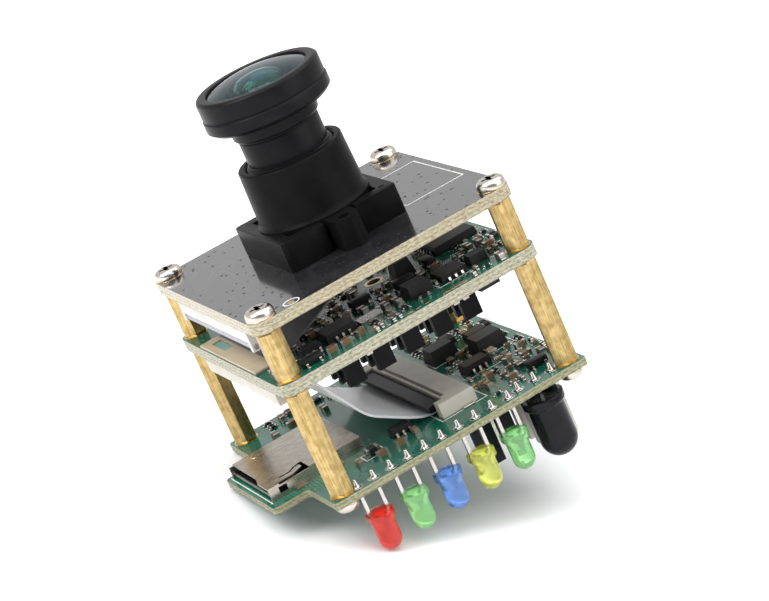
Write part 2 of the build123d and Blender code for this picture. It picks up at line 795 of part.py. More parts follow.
# Card slot: folded steel shell over a plastic base, mouth to the left
shell_w = slot_y1 - slot_y0
slot_mid_y = (slot_y0 + slot_y1) / 2
base_floor_t = 0.5
mouth_setback = 0.6
foot_x = 4.3
foot_l = 1.7
foot_reach = 0.8
sill_x = 0.3
sill_z0 = 0.35
sill_h = 0.45
wall_gap = 0.05
base_x0 = slot_x0 + sill_x + sheet_t + wall_gap
wall_window_x, wall_window_z = 2.0, 1.0
wall_window_l, wall_window_h = 1.2, 0.9

# Outlines cut from and added to the shell's top sheet, from its front left corner
mouth_cut = [(0, shell_w), (mouth_setback, shell_w), (mouth_setback, 5.7), (0, 3.6)]
spring_cut = [(1.7, 0), (1.7, 2.1), (4.0, 1.9), (4.9, 2.65), (6.2, 3.1), (6.2, 0)]
spring_arm = [(1.6, 0.6), (1.6, 1.7), (4.0, 1.5), (4.9, 2.25), (5.7, 2.4), (5.7, 1.4), (4.0, 0.55)]


def from_slot_corner(outline):
    """Moves an outline from the card slot's front left corner to its place."""
    return [(slot_x0 + x, slot_y0 + y) for x, y in outline]


with BuildPart() as card_slot_shell:
    with BuildSketch(Plane.XY.offset(io_top)):
        with Locations((slot_x0, slot_mid_y)):
            Rectangle(slot_l, shell_w, align=(Align.MIN, Align.CENTER))
    extrude(amount=slot_shell_h)
    with BuildSketch(Plane.XY.offset(io_top)):
        with Locations((slot_x0, slot_mid_y)):
            Rectangle(slot_l, shell_w - 2 * sheet_t, align=(Align.MIN, Align.CENTER))
    extrude(amount=slot_shell_h - sheet_t, mode=Mode.SUBTRACT)
    with BuildSketch(Plane.XY.offset(io_top + slot_shell_h)):
        with BuildLine():
            Polyline(*from_slot_corner(mouth_cut), close=True)
        make_face()
        with BuildLine():
            Polyline(*from_slot_corner(spring_cut), close=True)
        make_face()
    extrude(amount=-sheet_t, mode=Mode.SUBTRACT)
    with BuildSketch(Plane.XY.offset(io_top + slot_shell_h)):
        with BuildLine():
            Polyline(*from_slot_corner(spring_arm), close=True)
        make_face()
    extrude(amount=-sheet_t)
    with BuildSketch(Plane.XZ.offset(-slot_y0)):
        with Locations((slot_x0 + wall_window_x, io_top + wall_window_z)):
            Rectangle(wall_window_l, wall_window_h)
    extrude(amount=-sheet_t, mode=Mode.SUBTRACT)
    with BuildSketch(Plane.XY.offset(io_top)):
        with Locations((slot_x0 + foot_x, slot_y0), (slot_x1 - foot_x, slot_y0)):
            Rectangle(foot_l, foot_reach, align=(Align.CENTER, Align.MAX))
        with Locations((slot_x0 + foot_x, slot_y1), (slot_x1 - foot_x, slot_y1)):
            Rectangle(foot_l, foot_reach, align=(Align.CENTER, Align.MIN))
    extrude(amount=sheet_t)
    with BuildSketch(Plane.XY.offset(io_top + sill_z0)):
        with Locations((slot_x0 + sill_x, slot_mid_y)):
            Rectangle(sheet_t, shell_w, align=(Align.MIN, Align.CENTER))
    extrude(amount=sill_h)
write(card_slot_shell.part, "card_slot_shell")

base_block_l = 1.6
with BuildPart() as card_slot_base:
    with BuildSketch(Plane.XY.offset(io_top)):
        with Locations((base_x0, slot_mid_y)):
            Rectangle(
                slot_x1 - base_x0, shell_w - 2 * sheet_t - 2 * wall_gap, align=(Align.MIN, Align.CENTER)
            )
    extrude(amount=base_floor_t)
    with BuildSketch(Plane.XY.offset(io_top)):
        with Locations((slot_x1, slot_mid_y)):
            Rectangle(
                base_block_l, shell_w - 2 * sheet_t - 2 * wall_gap, align=(Align.MAX, Align.CENTER)
            )
    extrude(amount=slot_shell_h - sheet_t - wall_gap)
write(card_slot_base.part, "card_slot_base")

contact_count = 8
contact_pitch = 1.1
contact_root_x = slot_x1 - base_block_l
contact_half_w = 0.2
contact_profile = [
    (0, 0), (0, 0.15), (-2.0, 0.35), (-3.6, 0.75), (-4.1, 0.6), (-3.6, 0.6), (-2.0, 0.2), (-1.0, 0),
]
contact_points = [(contact_root_x + x, io_top + base_floor_t + z) for x, z in contact_profile]
with BuildPart() as card_contacts:
    with BuildSketch(Plane.XZ):
        with BuildLine():
            Polyline(*contact_points, close=True)
        make_face()
    extrude(amount=contact_half_w, both=True)
contact_strip = card_contacts.part
with BuildPart() as card_slot_contacts:
    with Locations((0, slot_mid_y, 0)):
        with GridLocations(0, contact_pitch, 1, contact_count):
            add(contact_strip)
write(card_slot_contacts.part, "card_slot_contacts")

# Lamps: leads, clear coloured bodies that hang under the front edge, solder cones above
lamp_top = io_bottom - lamp_drop
lamp_tip = lamp_top - lamp_h
lamp_xs = [lead_row_x0 + lead_pitch / 2 + 2 * i * lead_pitch for i in range(lamp_count)]
lead_grip_z = -0.7
lead_out = lead_pitch / 2 + lead_w / 2
lead_in = lead_pitch / 2 - lead_w / 2

# Frames inside a lamp, as points of X and height from the lamp's top
post_frame = [
    (-lead_out, -0.6), (-lead_in, -0.6), (-0.15, -1.3), (-0.05, -2.3), (-0.75, -2.3), (-1.1, -1.2),
    (-lead_out, -0.8),
]
anvil_frame = [
    (lead_in, -0.6), (lead_out, -0.6), (lead_out, -0.8), (0.95, -1.2), (0.95, -2.0), (0.45, -2.0),
    (0.45, -1.2),
]
with BuildPart() as lamp_lead_pair:
    with BuildSketch(Plane.XZ):
        with GridLocations(lead_pitch, 0, 2, 1):
            with Locations((0, lamp_top + lead_grip_z)):
                Rectangle(
                    lead_w, io_top + lead_tail - lamp_top - lead_grip_z, align=(Align.CENTER, Align.MIN)
                )
        for frame in (post_frame, anvil_frame):
            with BuildLine():
                Polyline(*[(x, lamp_top + z) for x, z in frame], close=True)
            make_face()
    extrude(amount=lead_w / 2, both=True)
lead_pair = lamp_lead_pair.part

with BuildPart() as lamp_leads:
    with Locations([(x, lead_row_y, 0) for x in lamp_xs]):
        add(lead_pair)
write(lamp_leads.part, "lamp_leads")

with BuildPart() as lamp_shape:
    with BuildSketch(Plane.XZ):
        with BuildLine():
            Polyline(
                (0, lamp_top),
                (lamp_flange_r, lamp_top),
                (lamp_flange_r, lamp_top - lamp_flange_t),
                (lamp_r, lamp_top - lamp_flange_t),
                (lamp_r, lamp_tip + lamp_r),
            )
            RadiusArc((lamp_r, lamp_tip + lamp_r), (0, lamp_tip), lamp_r)
            Line((0, lamp_tip), (0, lamp_top))
        make_face()
    revolve(axis=Axis.Z)
    with BuildSketch(Plane.XY.offset(lamp_top)):
        with Locations((-lamp_flange_r + 0.25, 0)):
            Rectangle(1.0, 2 * lamp_flange_r, align=(Align.MAX, Align.CENTER))
    extrude(amount=-lamp_flange_t, mode=Mode.SUBTRACT)
    add(lead_pair, mode=Mode.SUBTRACT)
lamp_body = lamp_shape.part
lamp_groups = {"red_lamp": (0,), "green_lamps": (1, 4), "blue_lamp": (2,), "yellow_lamp": (3,)}
for lamp_name, slots in lamp_groups.items():
    with BuildPart() as lamps:
        with Locations([(lamp_xs[i], lead_row_y, 0) for i in slots]):
            add(lamp_body)
    write(lamps.part, lamp_name)

# Infrared receiver: black domed body close under the board's front edge
receiver_top = io_bottom - receiver_drop
receiver_tip = receiver_top - receiver_h
lead_grip = 0.8
receiver_edge = 0.3
receiver_recess_l, receiver_recess_w, receiver_recess_t = 4.2, 2.4, 0.35
with BuildPart() as receiver_leads:
    with BuildSketch(Plane.XY.offset(receiver_top - lead_grip)):
        with Locations([(x, receiver_y) for x in receiver_xs]):
            Rectangle(lead_w, lead_w)
    extrude(amount=io_top + lead_tail - receiver_top + lead_grip)
write(receiver_leads.part, "receiver_leads")

with BuildPart() as ir_receiver:
    with BuildSketch(Plane.XZ.offset(-receiver_y)):
        with BuildLine():
            Polyline(
                (receiver_x, receiver_top),
                (receiver_x + receiver_flange_r, receiver_top),
                (receiver_x + receiver_flange_r, receiver_top - receiver_flange_t),
                (receiver_x + receiver_r, receiver_top - receiver_flange_t - receiver_edge),
                (receiver_x + receiver_r, receiver_tip + receiver_r),
            )
            RadiusArc(
                (receiver_x + receiver_r, receiver_tip + receiver_r), (receiver_x, receiver_tip), receiver_r
            )
            Line((receiver_x, receiver_tip), (receiver_x, receiver_top))
        make_face()
    revolve(axis=Axis((receiver_x, receiver_y, 0), (0, 0, 1)))
    with BuildSketch(Plane.XY.offset(receiver_top)):
        with Locations((receiver_x, receiver_y)):
            Rectangle(receiver_recess_l, receiver_recess_w)
    extrude(amount=-receiver_recess_t, mode=Mode.SUBTRACT)
    add(receiver_leads.part, mode=Mode.SUBTRACT)
write(ir_receiver.part, "ir_receiver")

# Solder cones round each lead on the upper face
cone_r = 0.58
cone_h = 1.2
cone_taper = 21
with BuildPart() as solder_joints:
    with BuildSketch(Plane.XY.offset(io_top)):
        with Locations([(x, lead_row_y) for x in lead_xs] + [(x, receiver_y) for x in receiver_xs]):
            RegularPolygon(cone_r, 8)
    extrude(amount=cone_h, taper=cone_taper)
    with BuildSketch(Plane.XY.offset(io_top)):
        with Locations([(x, lead_row_y) for x in lead_xs] + [(x, receiver_y) for x in receiver_xs]):
            Rectangle(lead_w, lead_w)
    extrude(amount=lead_tail, mode=Mode.SUBTRACT)
write(solder_joints.part, "solder_joints")

# Lower board, top side
io_small = (1.6, 0.8, 0.75)
io_places = [
    (13.4, -6.9, 30), (15.4, -8.4, 0), (16.9, -10.2, 90), (11.0, -12.9, 0), (13.1, -10.8, 90),
    (8.0, -11.6, 90), (9.6, -8.6, 0), (-6.2, -12.8, 0), (-3.6, -12.0, 90), (-12.0, -12.2, 90),
    (-9.0, -12.9, 0), (16.6, -4.6, 0), (9.4, 3.0, 90), (12.6, 12.0, 0), (9.0, 14.6, 0),
    (-6.8, 11.6, 90), (-11.4, 12.6, 0), (-14.4, 11.8, 90), (2.0, 16.2, 0),
]
io_chips = [(10.2, -3.2, 3.9, 2.6, 1.3), (15.4, 6.8, 3.2, 2.4, 1.1), (-4.6, -9.4, 2.9, 1.7, 1.1)]
io_coils = [(9.6, 6.4, 4.0, 3.4, 2.0), (14.4, 1.0, 4.4, 3.8, 2.2)]
write(smd_bodies(io_places, io_small, io_top, 1), "io_capacitor_bodies")
write(smd_ends(io_places, io_small, io_top, 1), "io_capacitor_ends")
write(leaded_chip(io_chips, io_top, 1), "io_chips")
write(gull_leads(io_chips, io_top, 1, 3, 0.95, True), "io_chip_leads")
write(leaded_chip(io_coils, io_top, 1, 0.0), "io_inductors")

# Underside sockets: a black power socket behind the lamps and a cream cable socket on the right
power_x, power_y = 6.2, -11.0
power_w, power_d, power_h = 4.2, 6.0, 7.6
socket_wall = 0.6
socket_floor = 1.4
key_w = 1.6
with BuildPart() as power_socket:
    with BuildSketch(Plane.XY.offset(io_bottom)):
        with Locations((power_x, power_y)):
            Rectangle(power_w, power_d)
    extrude(amount=-power_h)
    with BuildSketch(Plane.XY.offset(io_bottom - power_h)):
        with Locations((power_x, power_y)):
            Rectangle(power_w - 2 * socket_wall, power_d - 2 * socket_wall)
    extrude(amount=power_h - socket_floor, mode=Mode.SUBTRACT)
    with BuildSketch(Plane.XY.offset(io_bottom - power_h)):
        with Locations((power_x, power_y - power_d / 2)):
            Rectangle(key_w, 2 * socket_wall)
    extrude(amount=power_h - socket_floor, mode=Mode.SUBTRACT)
write(power_socket.part, "power_socket")

pin_pitch = 2.0
pin_side = 0.5
pin_margin = 1.2
with BuildPart() as power_socket_pins:
    with BuildSketch(Plane.XY.offset(io_bottom - socket_floor)):
        with Locations((power_x, power_y)):
            with GridLocations(0, pin_pitch, 1, 2):
                Rectangle(pin_side, pin_side)
    extrude(amount=-(power_h - socket_floor - pin_margin))
write(power_socket_pins.part, "power_socket_pins")

cable_x, cable_y = 13.8, -9.45
cable_w, cable_d, cable_h = 4.8, 8.2, 9.4
with BuildPart() as cable_socket:
    with BuildSketch(Plane.XY.offset(io_bottom)):
        with Locations((cable_x, cable_y)):
            Rectangle(cable_w, cable_d)
    extrude(amount=-cable_h)
    with BuildSketch(Plane.XY.offset(io_bottom - cable_h)):
        with Locations((cable_x, cable_y)):
            Rectangle(cable_w - 2 * socket_wall, cable_d - 2 * socket_wall)
    extrude(amount=cable_h - socket_floor, mode=Mode.SUBTRACT)
    with BuildSketch(Plane.XY.offset(io_bottom - cable_h)):
        with Locations((cable_x - cable_w / 2, cable_y)):
            Rectangle(2 * socket_wall, key_w)
    extrude(amount=cable_h - socket_floor, mode=Mode.SUBTRACT)
write(cable_socket.part, "cable_socket")

with BuildPart() as cable_socket_pins:
    with BuildSketch(Plane.XY.offset(io_bottom - socket_floor)):
        with Locations((cable_x, cable_y)):
            with GridLocations(0, pin_pitch, 1, 3):
                Rectangle(pin_side, pin_side)
    extrude(amount=-(cable_h - socket_floor - pin_margin))
write(cable_socket_pins.part, "cable_socket_pins")
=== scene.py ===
"""Looks of a three-board camera module with a wide-angle lens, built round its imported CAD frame.

Sizes are in millimetres in the part's own frame: the optical axis is Z, the front edge with the
indicator lamps runs along X, and the top face of the uppermost board is at Z 0.
"""

import logging
import math
import random
from dataclasses import dataclass
from enum import Enum
from typing import Any, Iterable, Mapping, Sequence

import bmesh
import bpy
from bmesh.types import BMEdge, BMesh, BMFace, BMVert
from bpy.types import Material, Node, NodeSocket, NodeTree, Object
from mathutils import Matrix, Vector


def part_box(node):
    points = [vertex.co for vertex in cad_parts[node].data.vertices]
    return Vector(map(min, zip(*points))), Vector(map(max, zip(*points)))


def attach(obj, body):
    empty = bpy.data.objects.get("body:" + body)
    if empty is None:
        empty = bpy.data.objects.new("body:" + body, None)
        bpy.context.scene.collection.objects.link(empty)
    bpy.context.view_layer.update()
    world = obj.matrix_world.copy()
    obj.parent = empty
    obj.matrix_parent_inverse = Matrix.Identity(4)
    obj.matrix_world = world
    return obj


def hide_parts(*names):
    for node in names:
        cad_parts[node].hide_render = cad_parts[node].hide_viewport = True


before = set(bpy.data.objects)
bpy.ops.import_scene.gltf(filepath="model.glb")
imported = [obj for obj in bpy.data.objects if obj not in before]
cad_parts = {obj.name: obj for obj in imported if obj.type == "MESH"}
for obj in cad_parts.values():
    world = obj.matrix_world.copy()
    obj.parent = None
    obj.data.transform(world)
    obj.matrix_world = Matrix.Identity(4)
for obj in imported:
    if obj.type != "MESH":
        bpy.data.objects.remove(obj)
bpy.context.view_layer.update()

Point2 = tuple[float, float]
Point3 = tuple[float, float, float]
Color = tuple[float, float, float]
Box2 = tuple[float, float, float, float]
Sockets = Mapping[str | int, Any]

MM = 0.001
LOG = logging.getLogger("camera_module")
CORNER = 17.0
STANDOFF_CLEAR = 2.1
TOUCHING = 1e-5
CORNERS: list[Point2] = [(x, y) for y in (-CORNER, CORNER) for x in (-CORNER, CORNER)]
LEAD_PITCH = 2.54
ROW_START: Point2 = (-15.25, -17.85)
RECEIVER: Point2 = (12.05, -17.0)
LEADS: list[Point2] = [(ROW_START[0] + i * LEAD_PITCH, ROW_START[1]) for i in range(10)]
LEADS += [(RECEIVER[0] + i * LEAD_PITCH, RECEIVER[1]) for i in (-1, 0, 1)]


class Body(str, Enum):
    """CAD bodies that a piece can ride on."""

    FRAME = "frame"
    LENS = "lens"


class Level(float, Enum):
    """Heights of the board faces."""

    SENSOR_TOP = 0.0
    SENSOR_BOTTOM = -1.6
    MAIN_TOP = -8.6
    MAIN_BOTTOM = -10.2
    IO_TOP = -25.2
    IO_BOTTOM = -26.2


UPWARD = {level: 1 if level.name.endswith("TOP") else -1 for level in Level}


# Shader nodes


class Net:
    """A shader node tree, with short calls that add nodes already linked."""

    def __init__(self, tree: NodeTree) -> None:
        """Wraps a tree."""
        self.tree = tree

    def fill(self, node: Node, values: Sockets) -> None:
        """Links or sets some inputs of a node.

        Args:
            node: the node.
            values: a socket, number, vector or colour for each input.
        """
        for label, value in values.items():
            target = node.inputs[label]
            if isinstance(value, NodeSocket):
                self.tree.links.new(value, target)
            else:
                target.default_value = (*value, 1.0) if target.type == "RGBA" else value

    def node(self, kind: str, values: Sockets | None = None, **options: Any) -> Node:
        """Adds a node.

        Args:
            kind: its type, without the leading ShaderNode.
            values: what its inputs get.
            options: its own settings.

        Returns:
            The node.
        """
        node = self.tree.nodes.new(f"ShaderNode{kind}")
        for name, value in options.items():
            setattr(node, name, value)
        self.fill(node, values or {})
        return node

    def math(self, operation: str, *values: Any) -> NodeSocket:
        """Adds a Math node and gives its result."""
        return self.node("Math", dict(enumerate(values)), operation=operation).outputs[0]

    def vector(self, operation: str, *values: Any) -> Node:
        """Adds a Vector Math node."""
        return self.node("VectorMath", dict(enumerate(values)), operation=operation)

    def average(self, a: NodeSocket, b: NodeSocket) -> NodeSocket:
        """Gives the mean of two values."""
        return self.math("ADD", self.math("MULTIPLY", a, 0.5), self.math("MULTIPLY", b, 0.5))

    def noise(self, where: NodeSocket, scale: Any, detail: float) -> NodeSocket:
        """Adds a noise texture and gives its value."""
        return self.node("TexNoise", {"Vector": where, "Scale": scale, "Detail": detail}).outputs[0]

    def ramp(self, value: NodeSocket, source: Point2, target: Point2 = (0.0, 1.0)) -> NodeSocket:
        """Adds a clamped Map Range node and gives its result."""
        ends = {"From Min": source[0], "From Max": source[1], "To Min": target[0], "To Max": target[1]}
        return self.node("MapRange", {"Value": value, **ends}).outputs["Result"]

    def mix(self, factor: NodeSocket, a: Any, b: Any) -> NodeSocket:
        """Mixes two numbers and gives the result."""
        return self.node("Mix", {"Factor": factor, "A": a, "B": b}).outputs["Result"]

    def mix_color(self, factor: NodeSocket, a: Any, b: Any) -> NodeSocket:
        """Mixes two colours and gives the result."""
        return self.node("Mix", {"Factor": factor, 6: a, 7: b}, data_type="RGBA").outputs[2]

    def choose(self, factor: NodeSocket, first: Node, second: Node) -> Node:
        """Mixes two shaders."""
        return self.node("MixShader", {0: factor, 1: first.outputs[0], 2: second.outputs[0]})

    def bump(self, height: NodeSocket, depth: float, strength: float) -> NodeSocket:
        """Adds a bump of a depth in millimetres and gives its normal."""
        values = {"Strength": strength, "Distance": depth * MM, "Height": height}
        return self.node("Bump", values).outputs["Normal"]

    def effect(self, name: str, values: Mapping[str, float]) -> Mapping[str, NodeSocket]:
        """Places a shared effect and gives its outputs."""
        return self.node("Group", values, node_tree=EFFECTS.get(name)).outputs


class Effects:
    """Shader effects that several finishes share, each a node group that is built once."""

    TRACK_CELLS = 0.26
    TRACK_WAVES = 13.0
    TRACK_TURNS = (0.38, 0.72)
    DIAGONAL = 0.7071
    VIA_CELLS = 0.75
    LAYER_WAVES = 11.0
    WEAVE = (1.9, 6.0)
    WEAVE_STRETCH = (1.0, 1.0, 3.6)

    def __init__(self) -> None:
        """Starts with no group built."""
        self._made: dict[str, NodeTree] = {}

    def get(self, name: str) -> NodeTree:
        """Gives a group, and builds it the first time.

        Args:
            name: one of surface_grain, drawn_lines or board_pattern.

        Returns:
            The group.
        """
        if name not in self._made:
            self._made[name] = getattr(self, f"_{name}")()
        return self._made[name]

    @staticmethod
    def _open(name: str, inputs: Mapping[str, float]) -> tuple[Net, Mapping[str, NodeSocket], NodeSocket]:
        """Starts a group.

        Args:
            name: the group's name.
            inputs: its number inputs with their defaults.

        Returns:
            The group's net, its inputs' sockets, and the object coordinates in millimetres.
        """
        net = Net(bpy.data.node_groups.new(name, "ShaderNodeTree"))
        for label, value in inputs.items():
            socket = net.tree.interface.new_socket(label, in_out="INPUT", socket_type="NodeSocketFloat")
            socket.default_value = value
        source = net.tree.nodes.new("NodeGroupInput").outputs
        place = net.node("TexCoord").outputs["Object"]
        scaled = net.node("VectorMath", {0: place, "Scale": 1.0 / MM}, operation="SCALE")
        return net, source, scaled.outputs[0]

    @staticmethod
    def _close(net: Net, values: Mapping[str, NodeSocket]) -> NodeTree:
        """Gives a group its outputs.

        Args:
            net: the group's net.
            values: the value that each output puts out.

        Returns:
            The finished group.
        """
        for label in values:
            net.tree.interface.new_socket(label, in_out="OUTPUT", socket_type="NodeSocketFloat")
        net.fill(net.tree.nodes.new("NodeGroupOutput"), values)
        return net.tree

    @staticmethod
    def _roughness(net: Net, source: Mapping[str, NodeSocket], value: NodeSocket) -> NodeSocket:
        """Spreads the group's roughness round its middle by a value between 0 and 1."""
        spread = net.math("MULTIPLY", net.math("SUBTRACT", value, 0.5), source["Spread"])
        return net.math("ADD", source["Roughness"], spread)

    def _surface_grain(self) -> NodeTree:
        """Makes fine moulded or matt grain with slow patches of handling.

        Returns:
            The group.
        """
        net, source, where = self._open(
            "surface_grain", {"Scale": 6.0, "Patch": 0.35, "Roughness": 0.4, "Spread": 0.1})
        fine = net.noise(where, source["Scale"], 3.0)
        patch = net.noise(where, source["Patch"], 2.0)
        return self._close(net, {"Height": fine, "Tone": net.ramp(patch, (0.3, 0.7)),
                                 "Roughness": self._roughness(net, source, net.average(fine, patch))})

    def _drawn_lines(self) -> NodeTree:
        """Makes long fine lines left by drawing, turning or rolling a metal, along one axis.

        Returns:
            The group.
        """
        axes = ("Along X", "Along Y", "Along Z")
        net, source, where = self._open(
            "drawn_lines", {**dict(zip(axes, (1.0, 1.0, 0.05))), "Roughness": 0.3, "Spread": 0.2})
        along = net.node("CombineXYZ", {i: source[label] for i, label in enumerate(axes)}).outputs[0]
        lines = net.noise(net.vector("MULTIPLY", where, along).outputs[0], 6.0, 4.0)
        worn = net.average(net.noise(where, 1.1, 7.0), lines)
        return self._close(net, {"Height": lines, "Tone": net.ramp(worn, (0.4, 0.62)),
                                 "Roughness": self._roughness(net, source, lines)})

    def _board_pattern(self) -> NodeTree:
        """Makes copper tracks under the solder mask, dots of vias, and the laminate's cut edge.

        Returns:
            The group.
        """
        net, source, where = self._open(
            "board_pattern", {"Track Density": 0.5, "Via Size": 0.16, "Seed": 0.0})
        shift = net.node("CombineXYZ", {0: source["Seed"], 1: source["Seed"]}).outputs[0]
        moved = net.vector("ADD", where, shift).outputs[0]
        x, y, _ = net.node("SeparateXYZ", {0: moved}).outputs
        cell = net.node("TexVoronoi", {"Scale": self.TRACK_CELLS, "Vector": moved}, distance="CHEBYCHEV")
        choice = net.node("SeparateColor", {0: cell.outputs["Color"]}).outputs
        slanted = net.math("MULTIPLY", net.math("ADD", x, y), self.DIAGONAL)
        along = x
        for limit, other in zip(self.TRACK_TURNS, (slanted, y)):
            along = net.mix(net.math("GREATER_THAN", choice[0], limit), along, other)
        line = net.ramp(net.math("SINE", net.math("MULTIPLY", along, self.TRACK_WAVES)), (0.35, 0.6))
        track = net.math("MULTIPLY", line, net.math("LESS_THAN", choice[1], source["Track Density"]))
        dots = net.node("TexVoronoi", {"Scale": self.VIA_CELLS, "Vector": moved}).outputs["Distance"]
        via = net.math("LESS_THAN", dots, source["Via Size"])
        normal = net.node("SeparateXYZ", {0: net.node("TexCoord").outputs["Normal"]}).outputs[2]
        edge = net.math("LESS_THAN", net.math("ABSOLUTE", normal), 0.5)
        height = net.node("SeparateXYZ", {0: where}).outputs[2]
        layer = net.math("SINE", net.math("MULTIPLY", height, self.LAYER_WAVES))
        weave = net.noise(net.vector("MULTIPLY", where, self.WEAVE_STRETCH).outputs[0], *self.WEAVE)
        mixed = net.math("ADD", net.math("MULTIPLY", layer, 0.05), weave)
        raised = net.math("SUBTRACT", track, net.math("MULTIPLY", via, 2.0))
        return self._close(net, {"Track": track, "Via": via, "Edge": edge,
                                 "Layer": net.ramp(mixed, (0.4, 0.62)), "Height": raised})


EFFECTS = Effects()
MATERIALS: dict["Finish", Material] = {}


@dataclass(frozen=True)
class Finish:
    """A grained finish: moulded plastic, ceramic, anodised metal or resin."""

    name: str
    slot: str
    color: Color
    shade: Color
    roughness: float = 0.45
    spread: float = 0.12
    grain: float = 6.0
    depth: float = 0.004
    metallic: float = 0.0
    coat: float = 0.0
    transmission: float = 0.0
    ior: float = 1.5
    tint: Color = (1.0, 1.0, 1.0)
    specular: float = 0.5

    def build(self) -> Material:
        """Makes the material, or gives the one already made.

        Returns:
            The material.
        """
        if self not in MATERIALS:
            material = bpy.data.materials.new(self.name)
            material.use_nodes = True
            net = Net(material.node_tree)
            net.fill(material.node_tree.nodes["Principled BSDF"], {
                "Metallic": self.metallic, "Coat Weight": self.coat, "Coat Roughness": 0.08,
                "Transmission Weight": self.transmission, "IOR": self.ior, "Specular Tint": self.tint,
                "Specular IOR Level": self.specular, **self._surface(net),
            })
            MATERIALS[self] = material
        return MATERIALS[self]

    def _effect(self, net: Net) -> Mapping[str, NodeSocket]:
        """Places the grain effect."""
        return net.effect("surface_grain", {
            "Scale": self.grain, "Roughness": self.roughness, "Spread": self.spread})

    def _surface(self, net: Net) -> dict[str, NodeSocket]:
        """Builds the nodes of the surface.

        Args:
            net: the material's net.

        Returns:
            The shader inputs that change over the surface.
        """
        effect = self._effect(net)
        return {"Base Color": net.mix_color(effect["Tone"], self.color, self.shade),
                "Roughness": effect["Roughness"], "Normal": net.bump(effect["Height"], self.depth, 0.35)}


@dataclass(frozen=True)
class MetalFinish(Finish):
    """A metal with drawn, turned or rolled lines along one axis."""

    metallic: float = 1.0
    lines: Point3 = (1.0, 1.0, 0.05)

    def _effect(self, net: Net) -> Mapping[str, NodeSocket]:
        """Places the line effect."""
        return net.effect("drawn_lines", {
            "Along X": self.lines[0], "Along Y": self.lines[1], "Along Z": self.lines[2],
            "Roughness": self.roughness, "Spread": self.spread})


@dataclass(frozen=True)
class BoardFinish(Finish):
    """Solder mask over copper on a glass-fibre laminate whose cut edge shows its layers."""

    spread: float = 0.06
    grain: float = 2.0
    depth: float = 0.02
    coat: float = 0.3
    track: Color = (0.05, 0.3, 0.2)
    via: Color = (0.3, 0.35, 0.25)
    edge: Color = (0.5, 0.48, 0.36)
    edge_shade: Color = (0.3, 0.27, 0.17)
    tracks: float = 0.5
    via_size: float = 0.16
    seed: float = 0.0

    def _surface(self, net: Net) -> dict[str, NodeSocket]:
        """Builds the nodes of the surface.

        Args:
            net: the material's net.

        Returns:
            The shader inputs that change over the surface.
        """
        pattern = net.effect("board_pattern", {
            "Track Density": self.tracks, "Via Size": self.via_size, "Seed": self.seed})
        grain = self._effect(net)
        mask = net.mix_color(grain["Tone"], self.color, self.shade)
        tracked = net.mix_color(pattern["Track"], mask, self.track)
        dotted = net.mix_color(pattern["Via"], tracked, self.via)
        cut = net.mix_color(pattern["Layer"], self.edge, self.edge_shade)
        dull = net.mix(pattern["Via"], grain["Roughness"], 0.6)
        return {"Base Color": net.mix_color(pattern["Edge"], dotted, cut),
                "Coat Weight": net.ramp(pattern["Via"], (0.0, 1.0), (self.coat, 0.0)),
                "Roughness": net.mix(pattern["Edge"], dull, 0.75),
                "Normal": net.bump(pattern["Height"], self.depth, 0.5)}


def resin(hue: str, color: Color, shade: Color) -> Finish:
    """Gives the cloudy resin of a lamp."""
    return Finish(f"{hue}_lamp_resin", f"{hue}_resin", color, shade, 0.07, 0.04, transmission=0.7, depth=0.002)


BLACK_BOARD = BoardFinish(
    "black_solder_mask", "black_board", (0.012, 0.012, 0.013), (0.018, 0.018, 0.019), 0.16, 0.05, depth=0.06,
    coat=0.8, track=(0.03, 0.03, 0.033), via=(0.002, 0.002, 0.002), edge=(0.47, 0.42, 0.3),
    edge_shade=(0.24, 0.2, 0.11), tracks=0.42)
GREEN_BOARD = BoardFinish(
    "green_solder_mask", "green_board", (0.003, 0.085, 0.05), (0.005, 0.11, 0.065), 0.22,
    track=(0.01, 0.15, 0.09), via=(0.16, 0.25, 0.17), edge=(0.46, 0.43, 0.33), edge_shade=(0.2, 0.2, 0.13),
    tracks=0.6, via_size=0.12, seed=7.0)
LOWER_BOARD = BoardFinish(
    "lower_solder_mask", "green_board", (0.004, 0.095, 0.06), (0.006, 0.12, 0.075), 0.2,
    track=(0.012, 0.16, 0.1), via=(0.15, 0.24, 0.17), edge=(0.33, 0.31, 0.19), edge_shade=(0.12, 0.13, 0.06),
    via_size=0.11, seed=19.0)
BRASS = MetalFinish("drawn_brass", "standoff_brass", (0.62, 0.46, 0.21), (0.36, 0.25, 0.09), 0.36, 0.35,
                    depth=0.02)
NICKEL = MetalFinish("nickel_plate", "nickel_steel", (0.66, 0.62, 0.56), (0.55, 0.5, 0.43), 0.25, 0.1,
                     depth=0.003, lines=(1.0, 1.0, 1.0))
STEEL = MetalFinish("rolled_steel", "stainless", (0.56, 0.51, 0.45), (0.42, 0.37, 0.31), 0.28, 0.15,
                    depth=0.003, lines=(0.08, 1.0, 1.0))
TIN = MetalFinish("bright_tin", "tin", (0.62, 0.59, 0.56), (0.5, 0.47, 0.44), 0.2, 0.15, lines=(1.0, 1.0, 1.0))
GOLD = MetalFinish("gold_plate", "gold", (0.74, 0.57, 0.3), (0.64, 0.47, 0.23), 0.25, 0.1, depth=0.002)
BLACK_MOULDING = Finish("moulded_black", "black_moulding", (0.0045, 0.0045, 0.005), (0.0075, 0.0075, 0.008),
                        0.36, grain=9.0, depth=0.008, specular=0.05)
ANODISED = Finish("anodised_black", "black_anodised", (0.007, 0.0065, 0.0075), (0.01, 0.0095, 0.0105),
                  0.3, 0.1, 14.0, specular=0.09)
CHIP = Finish("chip_epoxy", "chip_black", (0.011, 0.011, 0.012), (0.02, 0.02, 0.02),
              0.42, 0.15, 8.0, 0.008, specular=0.18)
